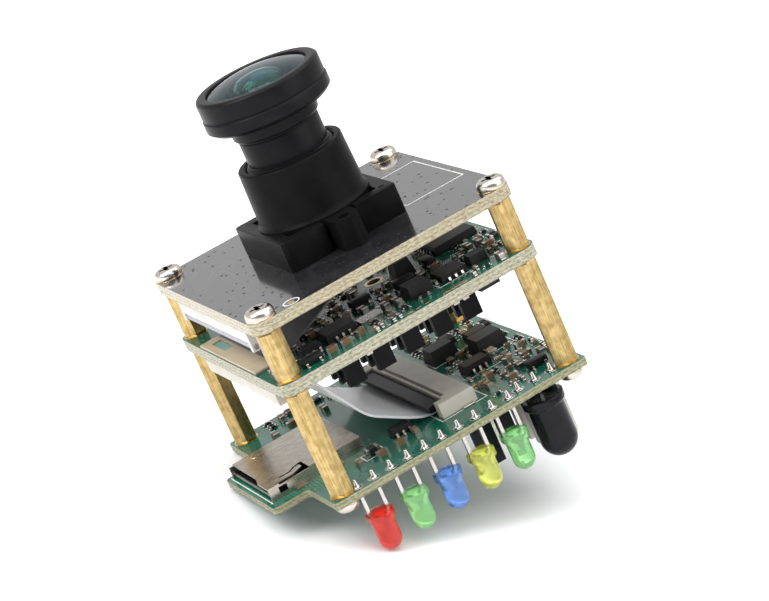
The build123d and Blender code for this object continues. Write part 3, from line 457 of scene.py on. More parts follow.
GLASS = Finish("coated_optics", "coated_glass", (0.95, 0.98, 0.96), (0.93, 0.97, 0.95),
               0.02, 0.01, 1.0, 0.0001, transmission=1.0, ior=1.6, tint=(0.2, 0.5, 0.24))
COATED_GLASS = Finish("front_coating", "coated_glass", (0.42, 0.68, 0.7), (0.38, 0.64, 0.66),
                      0.012, 0.008, 1.0, 0.0001, transmission=1.0, ior=1.55, tint=(0.15, 0.75, 1.0))
WHITE_MOULDING = Finish("moulded_white", "white_moulding", (0.62, 0.6, 0.57), (0.55, 0.53, 0.5), 0.4, grain=7.0)
GREY_MOULDING = Finish("moulded_grey", "grey_moulding", (0.36, 0.36, 0.4), (0.3, 0.3, 0.34), 0.4)
CREAM_MOULDING = Finish("moulded_cream", "cream_moulding", (0.6, 0.57, 0.5), (0.53, 0.5, 0.43), 0.42)
DARK_MOULDING = Finish("moulded_dark", "dark_moulding", (0.008, 0.008, 0.011), (0.013, 0.013, 0.017), 0.32,
                       specular=0.12)
FLEX = Finish("shielded_flex", "grey_flex", (0.085, 0.085, 0.09), (0.12, 0.12, 0.125), 0.35, grain=20.0)
FILM = Finish("polyimide_film", "amber_film", (0.56, 0.46, 0.31), (0.46, 0.37, 0.24), 0.4, grain=16.0)
RIBBON = Finish("ribbon_plastic", "white_ribbon", (0.74, 0.74, 0.76), (0.68, 0.68, 0.71), 0.3)
PAD = Finish("thermal_pad", "grey_pad", (0.3, 0.31, 0.33), (0.26, 0.27, 0.29), 0.8)
CERAMIC = Finish("fired_ceramic", "brown_ceramic", (0.2, 0.115, 0.06), (0.15, 0.085, 0.045), 0.4)
TAN_CERAMIC = Finish("tan_ceramic", "brown_ceramic", (0.36, 0.25, 0.14), (0.3, 0.2, 0.11), 0.42)
DARK_RESIN = Finish("dark_resin", "chip_black", (0.005, 0.005, 0.0065), (0.008, 0.0075, 0.0095),
                    0.12, 0.04, 4.0, 0.002, specular=0.18)
WINDOW_FILM = Finish("window_film", "green_board", (0.13, 0.34, 0.25), (0.1, 0.28, 0.2), 0.3, grain=14.0)
INK = Finish("white_ink", "white_moulding", (0.78, 0.78, 0.76), (0.68, 0.68, 0.66), 0.55, grain=12.0,
             depth=0.006)
RED_RESIN = resin("red", (1.0, 0.055, 0.03), (0.97, 0.04, 0.022))
GREEN_RESIN = resin("green", (0.44, 0.95, 0.4), (0.38, 0.9, 0.34))
BLUE_RESIN = resin("blue", (0.2, 0.42, 0.95), (0.16, 0.37, 0.92))
YELLOW_RESIN = resin("yellow", (0.9, 0.95, 0.19), (0.85, 0.9, 0.15))

CAD_FINISHES: dict[Finish, tuple[str, ...]] = {
    BLACK_BOARD: ("sensor_board",),
    GREEN_BOARD: ("main_board",),
    LOWER_BOARD: ("io_board",),
    BLACK_MOULDING: ("aperture_ring",),
    ANODISED: ("heatsink",),
    GLASS: ("second_lens", "third_lens", "rear_lens", "ir_cut_filter", "sensor_cover_glass"),
    CHIP: ("image_sensor", "underside_chips", "main_chips", "main_inductors", "io_chips", "io_inductors"),
    WHITE_MOULDING: ("sensor_flex_connector",),
    GREY_MOULDING: ("sensor_connector_lock",),
    CREAM_MOULDING: ("main_ribbon_connector", "io_ribbon_connector", "cable_socket"),
    DARK_MOULDING: ("io_connector_lock", "card_slot_base", "power_socket"),
    FLEX: ("sensor_flex",),
    FILM: ("flex_stiffener",),
    RIBBON: ("ribbon_cable",),
    PAD: ("thermal_pad",),
    TIN: ("main_chip_leads", "main_crystal", "main_capacitor_ends", "io_capacitor_ends", "lamp_leads",
          "receiver_leads", "io_chip_leads", "power_socket_pins", "cable_socket_pins"),
    CERAMIC: ("main_capacitor_bodies", "io_capacitor_bodies"),
    GOLD: ("card_slot_contacts",),
    STEEL: ("card_slot_shell",),
}


# Making shapes


def added(name: str, data: Any) -> Object:
    """Puts a new object in the scene.

    Args:
        name: its name.
        data: its mesh, camera or light.

    Returns:
        The object.
    """
    obj = bpy.data.objects.new(name, data)
    bpy.context.scene.collection.objects.link(obj)
    return obj


class Shape:
    """One mesh in the making, in millimetres, put together from simple solids."""

    def __init__(self) -> None:
        """Starts empty."""
        self.bm = bmesh.new()

    def add(self, part: BMesh, places: Iterable[Matrix] = (Matrix(),)) -> "Shape":
        """Adds copies of a part and frees it.

        Args:
            part: the mesh to add.
            places: one matrix for each copy.

        Returns:
            This shape, so that calls can be chained.
        """
        mesh = bpy.data.meshes.new("part")
        part.to_mesh(mesh)
        part.free()
        for place in places:
            copy = mesh.copy()
            copy.transform(place)
            if place.is_negative:
                copy.flip_normals()
            self.bm.from_mesh(copy)
            bpy.data.meshes.remove(copy)
        bpy.data.meshes.remove(mesh)
        return self

    def piece(self, name: str, finish: Finish, node: str | Sequence[str] = (), body: Body = Body.FRAME,
              sharp: float = 32.0) -> Object:
        """Turns the shape into a piece that rides on a body.

        Args:
            name: the piece's name.
            finish: its finish.
            node: the CAD node or nodes that it stands for.
            body: the CAD body that it moves with.
            sharp: edges that turn by more than this many degrees stay crisp.

        Returns:
            The piece.
        """
        for face in self.bm.faces:
            face.smooth = True
        for edge in self.bm.edges:
            edge.smooth = len(edge.link_faces) == 2 and edge.calc_face_angle(0.0) < math.radians(sharp)
        bmesh.ops.scale(self.bm, vec=(MM, MM, MM), verts=self.bm.verts)
        mesh = bpy.data.meshes.new(name)
        self.bm.to_mesh(mesh)
        self.bm.free()
        mesh.materials.append(finish.build())
        obj = added(name, mesh)
        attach(obj, body.value)
        if node:
            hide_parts(*([node] if isinstance(node, str) else node))
        LOG.info("%s: %d faces", name, len(mesh.polygons))
        return obj


def soften(points: Sequence[Point2], radius: float, steps: int = 3) -> list[Point2]:
    """Rounds the corners of an open profile, apart from its two ends.

    Args:
        points: the profile's points.
        radius: the largest cut back along each side of a corner.
        steps: how many segments a corner gets.

    Returns:
        The rounded profile.
    """
    rounded = [points[0]]
    for before, here, after in zip(points, points[1:], points[2:]):
        a, p, b = Vector(before), Vector(here), Vector(after)
        cut = min(radius, (a - p).length * 0.45, (b - p).length * 0.45)
        start, end = p + (a - p).normalized() * cut, p + (b - p).normalized() * cut
        for step in range(steps + 1):
            t = step / steps
            q = start.lerp(p, t).lerp(p.lerp(end, t), t)
            rounded.append((q.x, q.y))
    rounded.append(points[-1])
    return rounded


def round_tip(radius: float, tip: float, steps: int) -> list[Point2]:
    """Gives the quarter circle by which a dome of some radius closes at the height of its tip."""
    turns = [math.pi / 2 * step / steps for step in range(1, steps)]
    return [(radius * math.cos(a), tip + radius - radius * math.sin(a)) for a in turns] + [(0.0, tip)]


def revolved(profile: Sequence[Point2], centre: Point2 = (0.0, 0.0), steps: int = 96,
             closed: bool = True) -> BMesh:
    """Spins a profile of radius and height about an upright axis.

    Args:
        profile: points of radius and height.
        centre: where the axis stands.
        steps: segments of the full turn.
        closed: whether the last point joins the first; an open profile ends on the axis.

    Returns:
        The mesh.
    """
    bm = bmesh.new()
    verts = [bm.verts.new((centre[0] + r, centre[1], z)) for r, z in profile]
    pairs = list(zip(verts, verts[1:])) + ([(verts[-1], verts[0])] if closed else [])
    edges = [bm.edges.new(pair) for pair in pairs]
    bmesh.ops.spin(bm, geom=verts + edges, cent=(*centre, 0.0), axis=(0.0, 0.0, 1.0),
                   angle=2.0 * math.pi, steps=steps, use_merge=True)
    bmesh.ops.remove_doubles(bm, verts=bm.verts, dist=1e-4)
    bmesh.ops.recalc_face_normals(bm, faces=bm.faces)
    return bm


def bevelled(bm: BMesh, edges: Sequence[BMEdge], cut: float, segments: int = 2) -> BMesh:
    """Bevels edges of a mesh.

    Args:
        bm: the mesh.
        edges: its edges to bevel.
        cut: how far they are cut back; at 0 they stay sharp.
        segments: segments of a bevel.

    Returns:
        The same mesh.
    """
    if cut > 0.0:
        bmesh.ops.bevel(bm, geom=edges, offset=cut, offset_type="OFFSET", segments=segments, profile=0.5,
                        affect="EDGES", clamp_overlap=True, material=-1)
    return bm


def extruded(bm: BMesh, faces: Sequence[BMFace], rise: float) -> list[BMVert]:
    """Extrudes faces along Z.

    Args:
        bm: the mesh.
        faces: the faces.
        rise: how far, negative for down.

    Returns:
        The vertices that moved.
    """
    made = bmesh.ops.extrude_face_region(bm, geom=faces)
    moved = [item for item in made["geom"] if isinstance(item, BMVert)]
    bmesh.ops.translate(bm, verts=moved, vec=(0.0, 0.0, rise))
    return moved


def circle(bm: BMesh, segments: int, radius: float, at: Point3) -> list[BMEdge]:
    """Adds a flat circle and gives its edges."""
    made = bmesh.ops.create_circle(bm, segments=segments, radius=radius, matrix=Matrix.Translation(at))
    return list({edge for vert in made["verts"] for edge in vert.link_edges})


def slab(outline: Sequence[Point2], height: float, bevel: float) -> BMesh:
    """Raises an outline from the ground into a solid with softened edges.

    Args:
        outline: corner points, in order.
        height: how far it is raised.
        bevel: how far the edges are cut back.

    Returns:
        The mesh.
    """
    bm = bmesh.new()
    extruded(bm, [bm.faces.new([bm.verts.new((x, y, 0.0)) for x, y in outline])], height)
    bmesh.ops.recalc_face_normals(bm, faces=bm.faces)
    return bevelled(bm, bm.edges, bevel)


def block(centre: Point3, size: Point3, bevel: float = 0.0, segments: int = 1) -> BMesh:
    """Makes a box with softened edges.

    Args:
        centre: its centre.
        size: its lengths along the axes.
        bevel: how far the edges are cut back.
        segments: segments of a bevel.

    Returns:
        The mesh.
    """
    bm = bmesh.new()
    bmesh.ops.create_cube(bm, size=1.0, matrix=Matrix.Translation(centre) @ Matrix.Diagonal((*size, 1.0)))
    return bevelled(bm, bm.edges, bevel, segments)


def disc(segments: int, radius: float, depth: float) -> BMesh:
    """Makes a thin round plate, a little smaller at its upper edge.

    Args:
        segments: segments of its rim.
        radius: its lower radius.
        depth: its thickness.

    Returns:
        The mesh.
    """
    bm = bmesh.new()
    bmesh.ops.create_cone(bm, cap_ends=True, segments=segments, radius1=radius, radius2=radius - 0.02,
                          depth=depth)
    return bm


def flat_ring(inner: float, outer: float, face: float, up: int, rise: float, steps: int) -> BMesh:
    """Spins a flat ring on a board's face.

    Args:
        inner: its inner radius.
        outer: its outer radius.
        face: the face's height.
        up: 1 if the face looks up, -1 if down.
        rise: how far it stands out.
        steps: segments of the full turn.

    Returns:
        The mesh.
    """
    low, high = sorted((face - up * 0.01, face + up * rise))
    return revolved([(inner, low), (outer, low), (outer, high), (inner, high)], steps=steps)


def placed(points: Iterable[Sequence[float]], turn: float = 0.0) -> list[Matrix]:
    """Gives one matrix per place, on the ground if it has no height, each turned about Z in degrees."""
    return [Matrix.Translation((*p, 0.0)[:3]) @ Matrix.Rotation(math.radians(turn), 4, "Z") for p in points]


# Pieces


@dataclass
class LensUnit:
    """The screw-in lens: threaded barrel, bezel ring and front glass over dark inner rings."""

    thread_r: float = 5.94
    thread_root_r: float = 5.68
    thread_pitch: float = 0.5
    thread_top: float = 12.05
    bottom: float = 4.2
    neck_r: float = 5.42
    collar_r: float = 5.87
    bezel_r: float = 8.38
    rim_r: float = 8.5
    top: float = 22.66
    glass_r: float = 7.05
    glass_edge_r: float = 6.76
    glass_back: float = 19.62
    glass_seat: float = 21.5
    dome_r: float = 19.0
    apex: float = 23.6
    hollow_r: float = 5.6
    mouth_r: float = 4.8

    def build(self) -> None:
        """Builds each piece in turn."""
        self.barrel()
        self.bezel()
        self.front_glass()
        self.inner_rings()

    def barrel(self) -> None:
        """Spins the barrel with its thread ridges, neck and collar."""
        root, z = self.thread_root_r, self.bottom + 0.25
        outer: list[Point2] = [(3.0, self.bottom), (5.6, self.bottom), (root, self.bottom + 0.1)]
        while z + self.thread_pitch < self.thread_top:
            outer += [(root, z), (self.thread_r, z + 0.2), (self.thread_r, z + 0.28)]
            z += self.thread_pitch
        outer += [(root, z), (root, self.thread_top)]
        upper = [(self.neck_r, self.thread_top + 0.15), (self.neck_r, 15.45), (5.28, 15.58), (5.28, 15.8),
                 (5.55, 15.8), (self.collar_r, 16.1), (self.collar_r, 18.2), (7.6, 18.2), (7.6, 20.7),
                 (7.2, 20.7), (7.2, 19.55), (4.7, 19.55), (4.7, 15.4), (4.1, 15.4), (4.1, 10.8), (3.7, 10.8),
                 (3.7, 5.6), (3.0, 5.6)]
        Shape().add(revolved(outer + soften(upper, 0.12, 2))).piece(
            "lens_barrel_turned", ANODISED, "lens_barrel", Body.LENS)

    def bezel(self) -> None:
        """Spins the bezel with its lower flange, groove, rolled front edge and inner lip."""
        rim, side, top = self.rim_r, self.bezel_r, self.top
        profile = soften([
            (7.0, 17.75), (7.75, 17.75), (rim, 18.35), (rim, 19.72), (rim - 0.1, 19.86), (8.3, 19.88),
            (8.26, 19.98), (8.3, 20.08), (side, 20.16), (side, top - 0.35), (side - 0.35, top), (7.0, top),
            (6.87, top - 0.13), (6.87, 21.6), (7.15, 21.6), (7.15, 20.73), (7.63, 20.73), (7.63, 18.17),
            (5.9, 18.17), (5.9, 17.75), (7.0, 17.75),
        ], 0.16)[:-1]
        Shape().add(revolved(profile, steps=128)).piece(
            "lens_bezel_turned", ANODISED, "lens_bezel", Body.LENS)

    def front_glass(self) -> None:
        """Spins the domed front glass, which is hollow behind and black round its edge."""
        edge, back, hollow, mouth = self.glass_edge_r, self.glass_back, self.hollow_r, self.mouth_r
        profile: list[Point2] = [(0.0, self.apex)]
        for r in (edge * step / 14 for step in range(1, 15)):
            profile.append((r, self.apex - self.dome_r + math.sqrt(self.dome_r ** 2 - r ** 2)))
        profile += [(edge + 0.03, self.glass_seat), (self.glass_r, self.glass_seat), (self.glass_r, back),
                    (mouth, back)]
        mouth_z = math.sqrt(hollow ** 2 - mouth ** 2)
        for r in (mouth * (1 - step / 12) for step in range(1, 13)):
            profile.append((r, back - mouth_z + math.sqrt(hollow ** 2 - r ** 2)))
        glass = Shape().add(revolved(profile, closed=False)).piece(
            "front_glass_polished", COATED_GLASS, "front_glass", Body.LENS, sharp=25.0)
        glass.data.materials.append(BLACK_MOULDING.build())
        glass.data.materials.append(GLASS.build())
        for face in glass.data.polygons:
            if face.center.z / MM < self.glass_seat + 0.02:
                face.material_index = 1 if face.center.xy.length / MM > mouth + 0.02 else 2

    def inner_rings(self) -> None:
        """Spins the stepped black rings that show through the front glass."""
        stack = Shape()
        for inner, outer, z0, z1 in ((3.95, 4.66, 17.6, 19.58), (3.4, 4.06, 13.0, 15.38)):
            ring = soften([(inner + 0.3, z0), (outer, z0), (outer, z1), (inner + 0.25, z1), (inner, z1 - 0.3),
                           (inner, z0 + 0.2), (inner + 0.3, z0)], 0.05, 1)[:-1]
            stack.add(revolved(ring, steps=64))
        stack.piece("lens_spacer_rings", BLACK_MOULDING, ("front_spacer", "middle_spacer"), Body.LENS)


@dataclass
class LensMount:
    """The moulded holder: a square base with two screw bosses under a tapered, threaded tube."""

    half: float = 8.5
    height: float = 4.0
    tube_foot_r: float = 7.35
    tube_top_r: float = 7.1
    tube_top: float = 12.0
    bore_r: float = 6.0
    hollow: float = 6.5
    notch: float = 2.4
    notch_depth: float = 1.5
    chamfer: float = 0.45
    boss_y: float = 10.0
    boss_r: float = 1.9
    boss_root: float = 7.0

    def build(self) -> None:
        """Builds the holder."""
        holder = Shape()
        for part in (self._half_base(1), self._half_base(-1), self._tube(), self._boss(1), self._boss(-1),
                     self._tip_mark()):
            holder.add(part)
        holder.piece("lens_holder_moulded", BLACK_MOULDING, "lens_holder", sharp=28.0)

    def _half_base(self, side: int) -> BMesh:
        """Raises one half of the base round the hollow for the image sensor.

        Args:
            side: 1 for the right half, -1 for the left.

        Returns:
            The mesh.
        """
        half, hollow, cut, step = self.half, self.hollow, self.chamfer, self.half - self.notch_depth
        outline = [(0.0, hollow), (0.0, step), (self.notch, step), (self.notch, half), (half - cut, half),
                   (half, half - cut), (half, cut - half), (half - cut, -half), (self.notch, -half),
                   (self.notch, -step), (0.0, -step), (0.0, -hollow), (hollow, -hollow), (hollow, hollow)]
        if side < 0:
            outline = [(-x, y) for x, y in reversed(outline)]
        return slab(outline, self.height, 0.09)

    def _tube(self) -> BMesh:
        """Spins the tube with the ring at its foot, its thread inside and the floor that closes the base.

        Returns:
            The mesh.
        """
        base, foot, bore, neck, top = self.height, self.tube_foot_r, self.bore_r, self.tube_top_r, self.tube_top
        profile = [(3.7, 2.4), (7.6, 2.4), (7.7, base + 0.22), (7.52, base + 0.5), (foot + 0.02, base + 0.75),
                   (foot - 0.02, base + 1.1), (neck, top - 0.22), (neck - 0.1, top - 0.06), (neck - 0.24, top),
                   (bore + 0.34, top), (bore + 0.24, top - 0.06)]
        z = top - 0.45
        while z > 6.0:
            profile += [(bore, z), (bore + 0.18, z - 0.15), (bore, z - 0.3)]
            z -= 0.5
        return revolved(profile + [(bore, 3.2), (3.7, 3.2)])

    def _boss(self, side: int) -> BMesh:
        """Shapes one rounded boss with its screw hole.

        Args:
            side: 1 for the rear boss, -1 for the front.

        Returns:
            The mesh.
        """
        bm = bmesh.new()
        r, y = self.boss_r, self.boss_y
        turns = [math.pi - math.pi * step / 16 for step in range(1, 16)]
        outer = [(-r, self.boss_root), (-r, y), *((r * math.cos(a), y + r * math.sin(a)) for a in turns),
                 (r, y), (r, self.boss_root)]
        rim = [bm.verts.new((x, side * y, self.height)) for x, y in outer]
        edges = [bm.edges.new(pair) for pair in zip(rim, rim[1:] + rim[:1])]
        hole = circle(bm, 24, 0.8, (0.0, side * self.boss_y, self.height))
        bmesh.ops.bridge_loops(bm, edges=edges + hole)
        extruded(bm, list(bm.faces), -self.height)
        bmesh.ops.recalc_face_normals(bm, faces=bm.faces)
        return bm

    def _tip_mark(self) -> BMesh:
        """Raises the small round moulding mark on the base's front right corner."""
        low, high = self.height - 0.1, self.height + 0.06
        return revolved(soften([(0.0, low), (0.42, low), (0.42, high), (0.0, high)], 0.05, 2), (7.2, -6.5), 20,
                        closed=False)


@dataclass(frozen=True)
class ScrewSize:
    """Sizes of one kind of screw and the face that its head sits on."""

    head_r: float
    head_h: float
    length: float
    shank_r: float
    face: Level


@dataclass
class Fasteners:
    """Hexagonal standoffs and the screws that hold the stack together."""

    across_flats: float = 3.0
    end_inset: float = 0.18
    end_fall: float = 0.38
    edge_cut: float = 0.06
    stud_r: float = 0.98
    lower_turns: tuple[float, ...] = (-15.0, -15.0, -15.0, -15.0)
    upper_turns: tuple[float, ...] = (-3.0, -15.0, -15.0, -15.0)
    recess_arm: float = 0.95
    recess_half: float = 0.19
    recess_depth: float = 0.62
    recess_taper: float = 0.55
    head_steps: tuple[Point2, ...] = ((0.6, 0.97), (0.78, 0.93), (0.9, 0.8), (0.975, 0.6), (1.0, 0.4),
                                      (1.0, 0.05), (0.985, 0.0), (0.4, 0.0))

    def build(self) -> None:
        """Builds every fastener."""
        self._standoffs("upper_standoffs", Level.MAIN_TOP, Level.SENSOR_BOTTOM, self.upper_turns)
        self._standoffs("lower_standoffs", Level.IO_TOP, Level.MAIN_BOTTOM, self.lower_turns)
        self._screws("top_screws", CORNERS, ScrewSize(1.9, 1.3, 5.6, self.stud_r, Level.SENSOR_TOP))
        self._screws("bottom_screws", CORNERS, ScrewSize(1.6, 1.3, 5.0, self.stud_r, Level.IO_BOTTOM))
        self._screws("holder_screws", ((0.0, 10.0), (0.0, -10.0)),
                     ScrewSize(1.6, 1.1, 4.8, 0.78, Level.SENSOR_BOTTOM))

    def _standoffs(self, node: str, low: float, high: float, turns: Sequence[float]) -> None:
        """Turns four hexagon bars with rounded-off ends.

        Args:
            node: the CAD node that they stand for.
            low: height of the lower end.
            high: height of the upper end.
            turns: how far each bar is turned, in degrees.
        """
        group = Shape()
        radius = self.across_flats / math.sqrt(3.0)
        for (x, y), turn in zip(CORNERS, turns):
            bm = bmesh.new()
            bmesh.ops.create_cone(bm, cap_ends=True, segments=6, radius1=radius, radius2=radius,
                                  depth=high - low, matrix=Matrix.Rotation(math.radians(turn), 4, "Z"))
            caps = [f for f in bm.faces if abs(f.normal.z) > 0.9]
            bmesh.ops.inset_region(bm, faces=caps, thickness=self.end_inset, depth=0.0)
            for end in [f for f in bm.faces if len(f.verts) == 6 and abs(f.normal.z) > 0.9]:
                sign = 1 if end.normal.z > 0 else -1
                rim = {v for f in bm.faces if f is not end for v in f.verts
                       if v not in end.verts and v.co.z * sign > 0}
                bmesh.ops.translate(bm, verts=list(rim), vec=(0.0, 0.0, -self.end_fall * sign))
            upright = [e for e in bm.edges if abs((e.verts[0].co - e.verts[1].co).normalized().z) > 0.9]
            group.add(bevelled(bm, upright, self.edge_cut), [Matrix.Translation((x, y, (low + high) / 2))])
        group.piece(f"{node}_turned", BRASS, node, sharp=20.0)

    def _screws(self, node: str, places: Sequence[Point2], size: ScrewSize) -> None:
        """Shapes pan-head screws with a cross recess.

        Args:
            node: the CAD node that they stand for.
            places: where the screws stand.
            size: their sizes.
        """
        flip = Matrix.Diagonal((1.0, 1.0, UPWARD[size.face], 1.0))
        spots = [spot @ flip for spot in placed([(*at, size.face) for at in places])]
        tip, r = -size.length, size.shank_r
        shank = soften([(0.0, tip), (r - 0.25, tip), (r, tip + 0.3), (r, 0.02), (0.0, 0.02)], 0.1, 2)
        group = Shape().add(self._head(size.head_r, size.head_h), spots)
        group.add(revolved(shank, steps=24, closed=False), spots)
        group.piece(f"{node}_plated", NICKEL, node, sharp=38.0)

    def _head(self, radius: float, height: float) -> BMesh:
        """Domes a head round a tapering cross recess.

        Args:
            radius: the head's radius.
            height: the head's height.

        Returns:
            The mesh.
        """
        bm = bmesh.new()
        arm, half, last = self.recess_arm, self.recess_half, self.head_steps[0]
        top = height * last[1]
        cross = [(arm, -half), (arm, half), (half, half), (half, arm), (-half, arm), (-half, half),
                 (-arm, half), (-arm, -half), (-half, -half), (-half, -arm), (half, -arm), (half, -half)]
        floor = bm.faces.new([bm.verts.new((x, y, top)) for x, y in cross])
        deep = extruded(bm, [floor], -self.recess_depth)
        bmesh.ops.scale(bm, verts=deep, vec=(self.recess_taper, self.recess_taper, 1.0))
        lids = [f for f in bm.faces if all(abs(v.co.z - top) < TOUCHING for v in f.verts)]
        bmesh.ops.delete(bm, geom=lids, context="FACES_ONLY")
        inner = [e for e in bm.edges if all(abs(v.co.z - top) < TOUCHING for v in e.verts)]
        loop = circle(bm, 36, radius * last[0], (0.0, 0.0, top))
        bmesh.ops.bridge_loops(bm, edges=inner + loop)
        for r, z in self.head_steps[1:]:
            made = bmesh.ops.extrude_edge_only(bm, edges=loop)["geom"]
            verts = [item for item in made if isinstance(item, BMVert)]
            bmesh.ops.scale(bm, verts=verts, vec=(r / last[0], r / last[0], 1.0))
            bmesh.ops.translate(bm, verts=verts, vec=(0.0, 0.0, (z - last[1]) * height))
            loop, last = [item for item in made if isinstance(item, BMEdge)], (r, z)
        bmesh.ops.edgeloop_fill(bm, edges=loop)
        bmesh.ops.recalc_face_normals(bm, faces=bm.faces)
        return bm


@dataclass
class FrontRow:
    """Indicator lamps, the infrared receiver and the solder cones along the front edge."""

    top: float = -29.4
    height: float = 5.3
    flange_r: float = 1.9
    flange_h: float = 1.0
    flat_x: float = 1.65
    body_r: float = 1.5
    receiver_top: float = -27.4
    receiver_h: float = 8.6
    receiver_r: float = 2.5
    receiver_flange_r: float = 2.9

    def build(self) -> None:
        """Builds the row from left to right."""
        for node, slots, finish in (("red_lamp", (0,), RED_RESIN), ("green_lamps", (1, 4), GREEN_RESIN),
                                    ("blue_lamp", (2,), BLUE_RESIN), ("yellow_lamp", (3,), YELLOW_RESIN)):
            group = Shape()
            for slot in slots:
                group.add(self._lamp_body(ROW_START[0] + LEAD_PITCH / 2 + 2 * slot * LEAD_PITCH))
            group.piece(f"{node}_moulded", finish, node, sharp=40.0)
        self._receiver()
        self._solder()

    def _lamp_body(self, x: float) -> BMesh:
        """Spins a round-ended lamp with a flange that is flat on its left side.

        Args:
            x: the lamp's place along the row.

        Returns:
            The mesh.
        """
        tip, r, foot = self.top - self.height, self.body_r, self.top - self.flange_h
        profile = soften([(0.0, self.top), (self.flange_r, self.top), (self.flange_r, foot), (r, foot),
                          (r, tip + r)], 0.09, 2)
        bm = revolved(profile + round_tip(r, tip, 12), (x, ROW_START[1]), 64, closed=False)
        bmesh.ops.bisect_plane(bm, geom=bm.verts[:] + bm.edges[:] + bm.faces[:], dist=TOUCHING,
                               clear_inner=True,
                               plane_co=(x - self.flat_x, 0.0, 0.0), plane_no=(1.0, 0.0, 0.0))
        bmesh.ops.holes_fill(bm, edges=[e for e in bm.edges if e.is_boundary])
        bmesh.ops.recalc_face_normals(bm, faces=bm.faces)
        return bm

    def _receiver(self) -> None:
        """Spins the receiver's dark dome on its flange."""
        top, r, rim = self.receiver_top, self.receiver_r, self.receiver_flange_r
        tip = top - self.receiver_h
        profile = soften([(0.0, top - 0.3), (1.5, top - 0.3), (1.75, top), (rim, top), (rim, top - 1.0),
                          (r, top - 1.3), (r, tip + r)], 0.12)
        Shape().add(revolved(profile + round_tip(r, tip, 16), RECEIVER, 80, closed=False)).piece(
            "ir_receiver_moulded", DARK_RESIN, "ir_receiver", sharp=40.0)

    def _solder(self) -> None:
        """Spins a concave cone of solder round each lead, with the cut lead end at its tip."""
        profile = soften([(0.0, -0.02), (0.72, -0.02), (0.72, 0.05), (0.5, 0.16), (0.34, 0.5), (0.26, 1.0),
                          (0.2, 1.16), (0.0, 1.2)], 0.08, 2)
        places = placed([(*lead, Level.IO_TOP) for lead in LEADS])
        Shape().add(revolved(profile, steps=20, closed=False), places).piece(
            "solder_cones", TIN, "solder_joints", sharp=50.0)


def footprints(names: Iterable[str]) -> list[Box2]:
    """Finds the ground that each separate solid of some CAD nodes covers.

    Args:
        names: the CAD nodes.

    Returns:
        One box of lowest and highest X and Y for each solid.
    """
    boxes: list[Box2] = []
    for name in names:
        bm = bmesh.new()
        bm.from_mesh(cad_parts[name].data)
        bmesh.ops.remove_doubles(bm, verts=bm.verts, dist=1e-6)
        left = set(bm.verts)
        while left:
            island, edge_of = [], [left.pop()]
            while edge_of:
                vert = edge_of.pop()
                island.append(vert.co / MM)
                near = {e.other_vert(vert) for e in vert.link_edges} & left
                left -= near
                edge_of += near
            xs, ys = [p.x for p in island], [p.y for p in island]
            boxes.append((min(xs), min(ys), max(xs), max(ys)))
        bm.free()
    return boxes


class Ground:
    """Free space on one face of a board."""

    def __init__(self, taken: list[Box2]) -> None:
        """Starts from the boxes that are already covered."""
        self.taken = taken

    def claim(self, at: Point2, size: Point2, gap: float = 0.14) -> bool:
        """Takes a rectangle if nothing covers it yet.

        Args:
            at: its centre.
            size: its lengths along X and Y.
            gap: the free space wanted round it.

        Returns:
            Whether it was free.
        """
        (x, y), (dx, dy) = at, (size[0] / 2, size[1] / 2)
        box = (x - dx, y - dy, x + dx, y + dy)
        for other in self.taken:
            if (box[0] - gap < other[2] and box[2] + gap > other[0]
                    and box[1] - gap < other[3] and box[3] + gap > other[1]):
                return False
        self.taken.append(box)
        return True


@dataclass(frozen=True)
class ChipKind:
    """A two-terminal surface-mount part, and how often it is drawn."""

    length: float
    width: float
    height: float
    finish: Finish
    share: int = 0

    def solids(self) -> tuple[BMesh, list[BMesh]]:
        """Makes the part.

        Returns:
            Its body, and its metal ends with the solder at their feet.
        """
        end, middle = self.length * 0.23, self.height / 2 + 0.02
        body = block((0.0, 0.0, middle), (self.length - 2 * end, self.width * 0.97, self.height), 0.03)
        metal = []
        for side in (-1, 1):
            metal.append(block((side * (self.length - end) / 2, 0.0, middle),
                               (end, self.width, self.height + 0.02), 0.05))
            metal.append(block((side * (self.length / 2 + 0.09), 0.0, 0.07),
                               (0.26, self.width * 0.86, 0.12), 0.05))
        return body, metal


@dataclass(frozen=True)
class Transistor:
    """A small black part with three or six bent leads."""

    at: Point2
    turn: float = 0
    length: float = 2.9
    width: float = 1.4
    height: float = 1.0
    leads: tuple[int, int] = (2, 1)


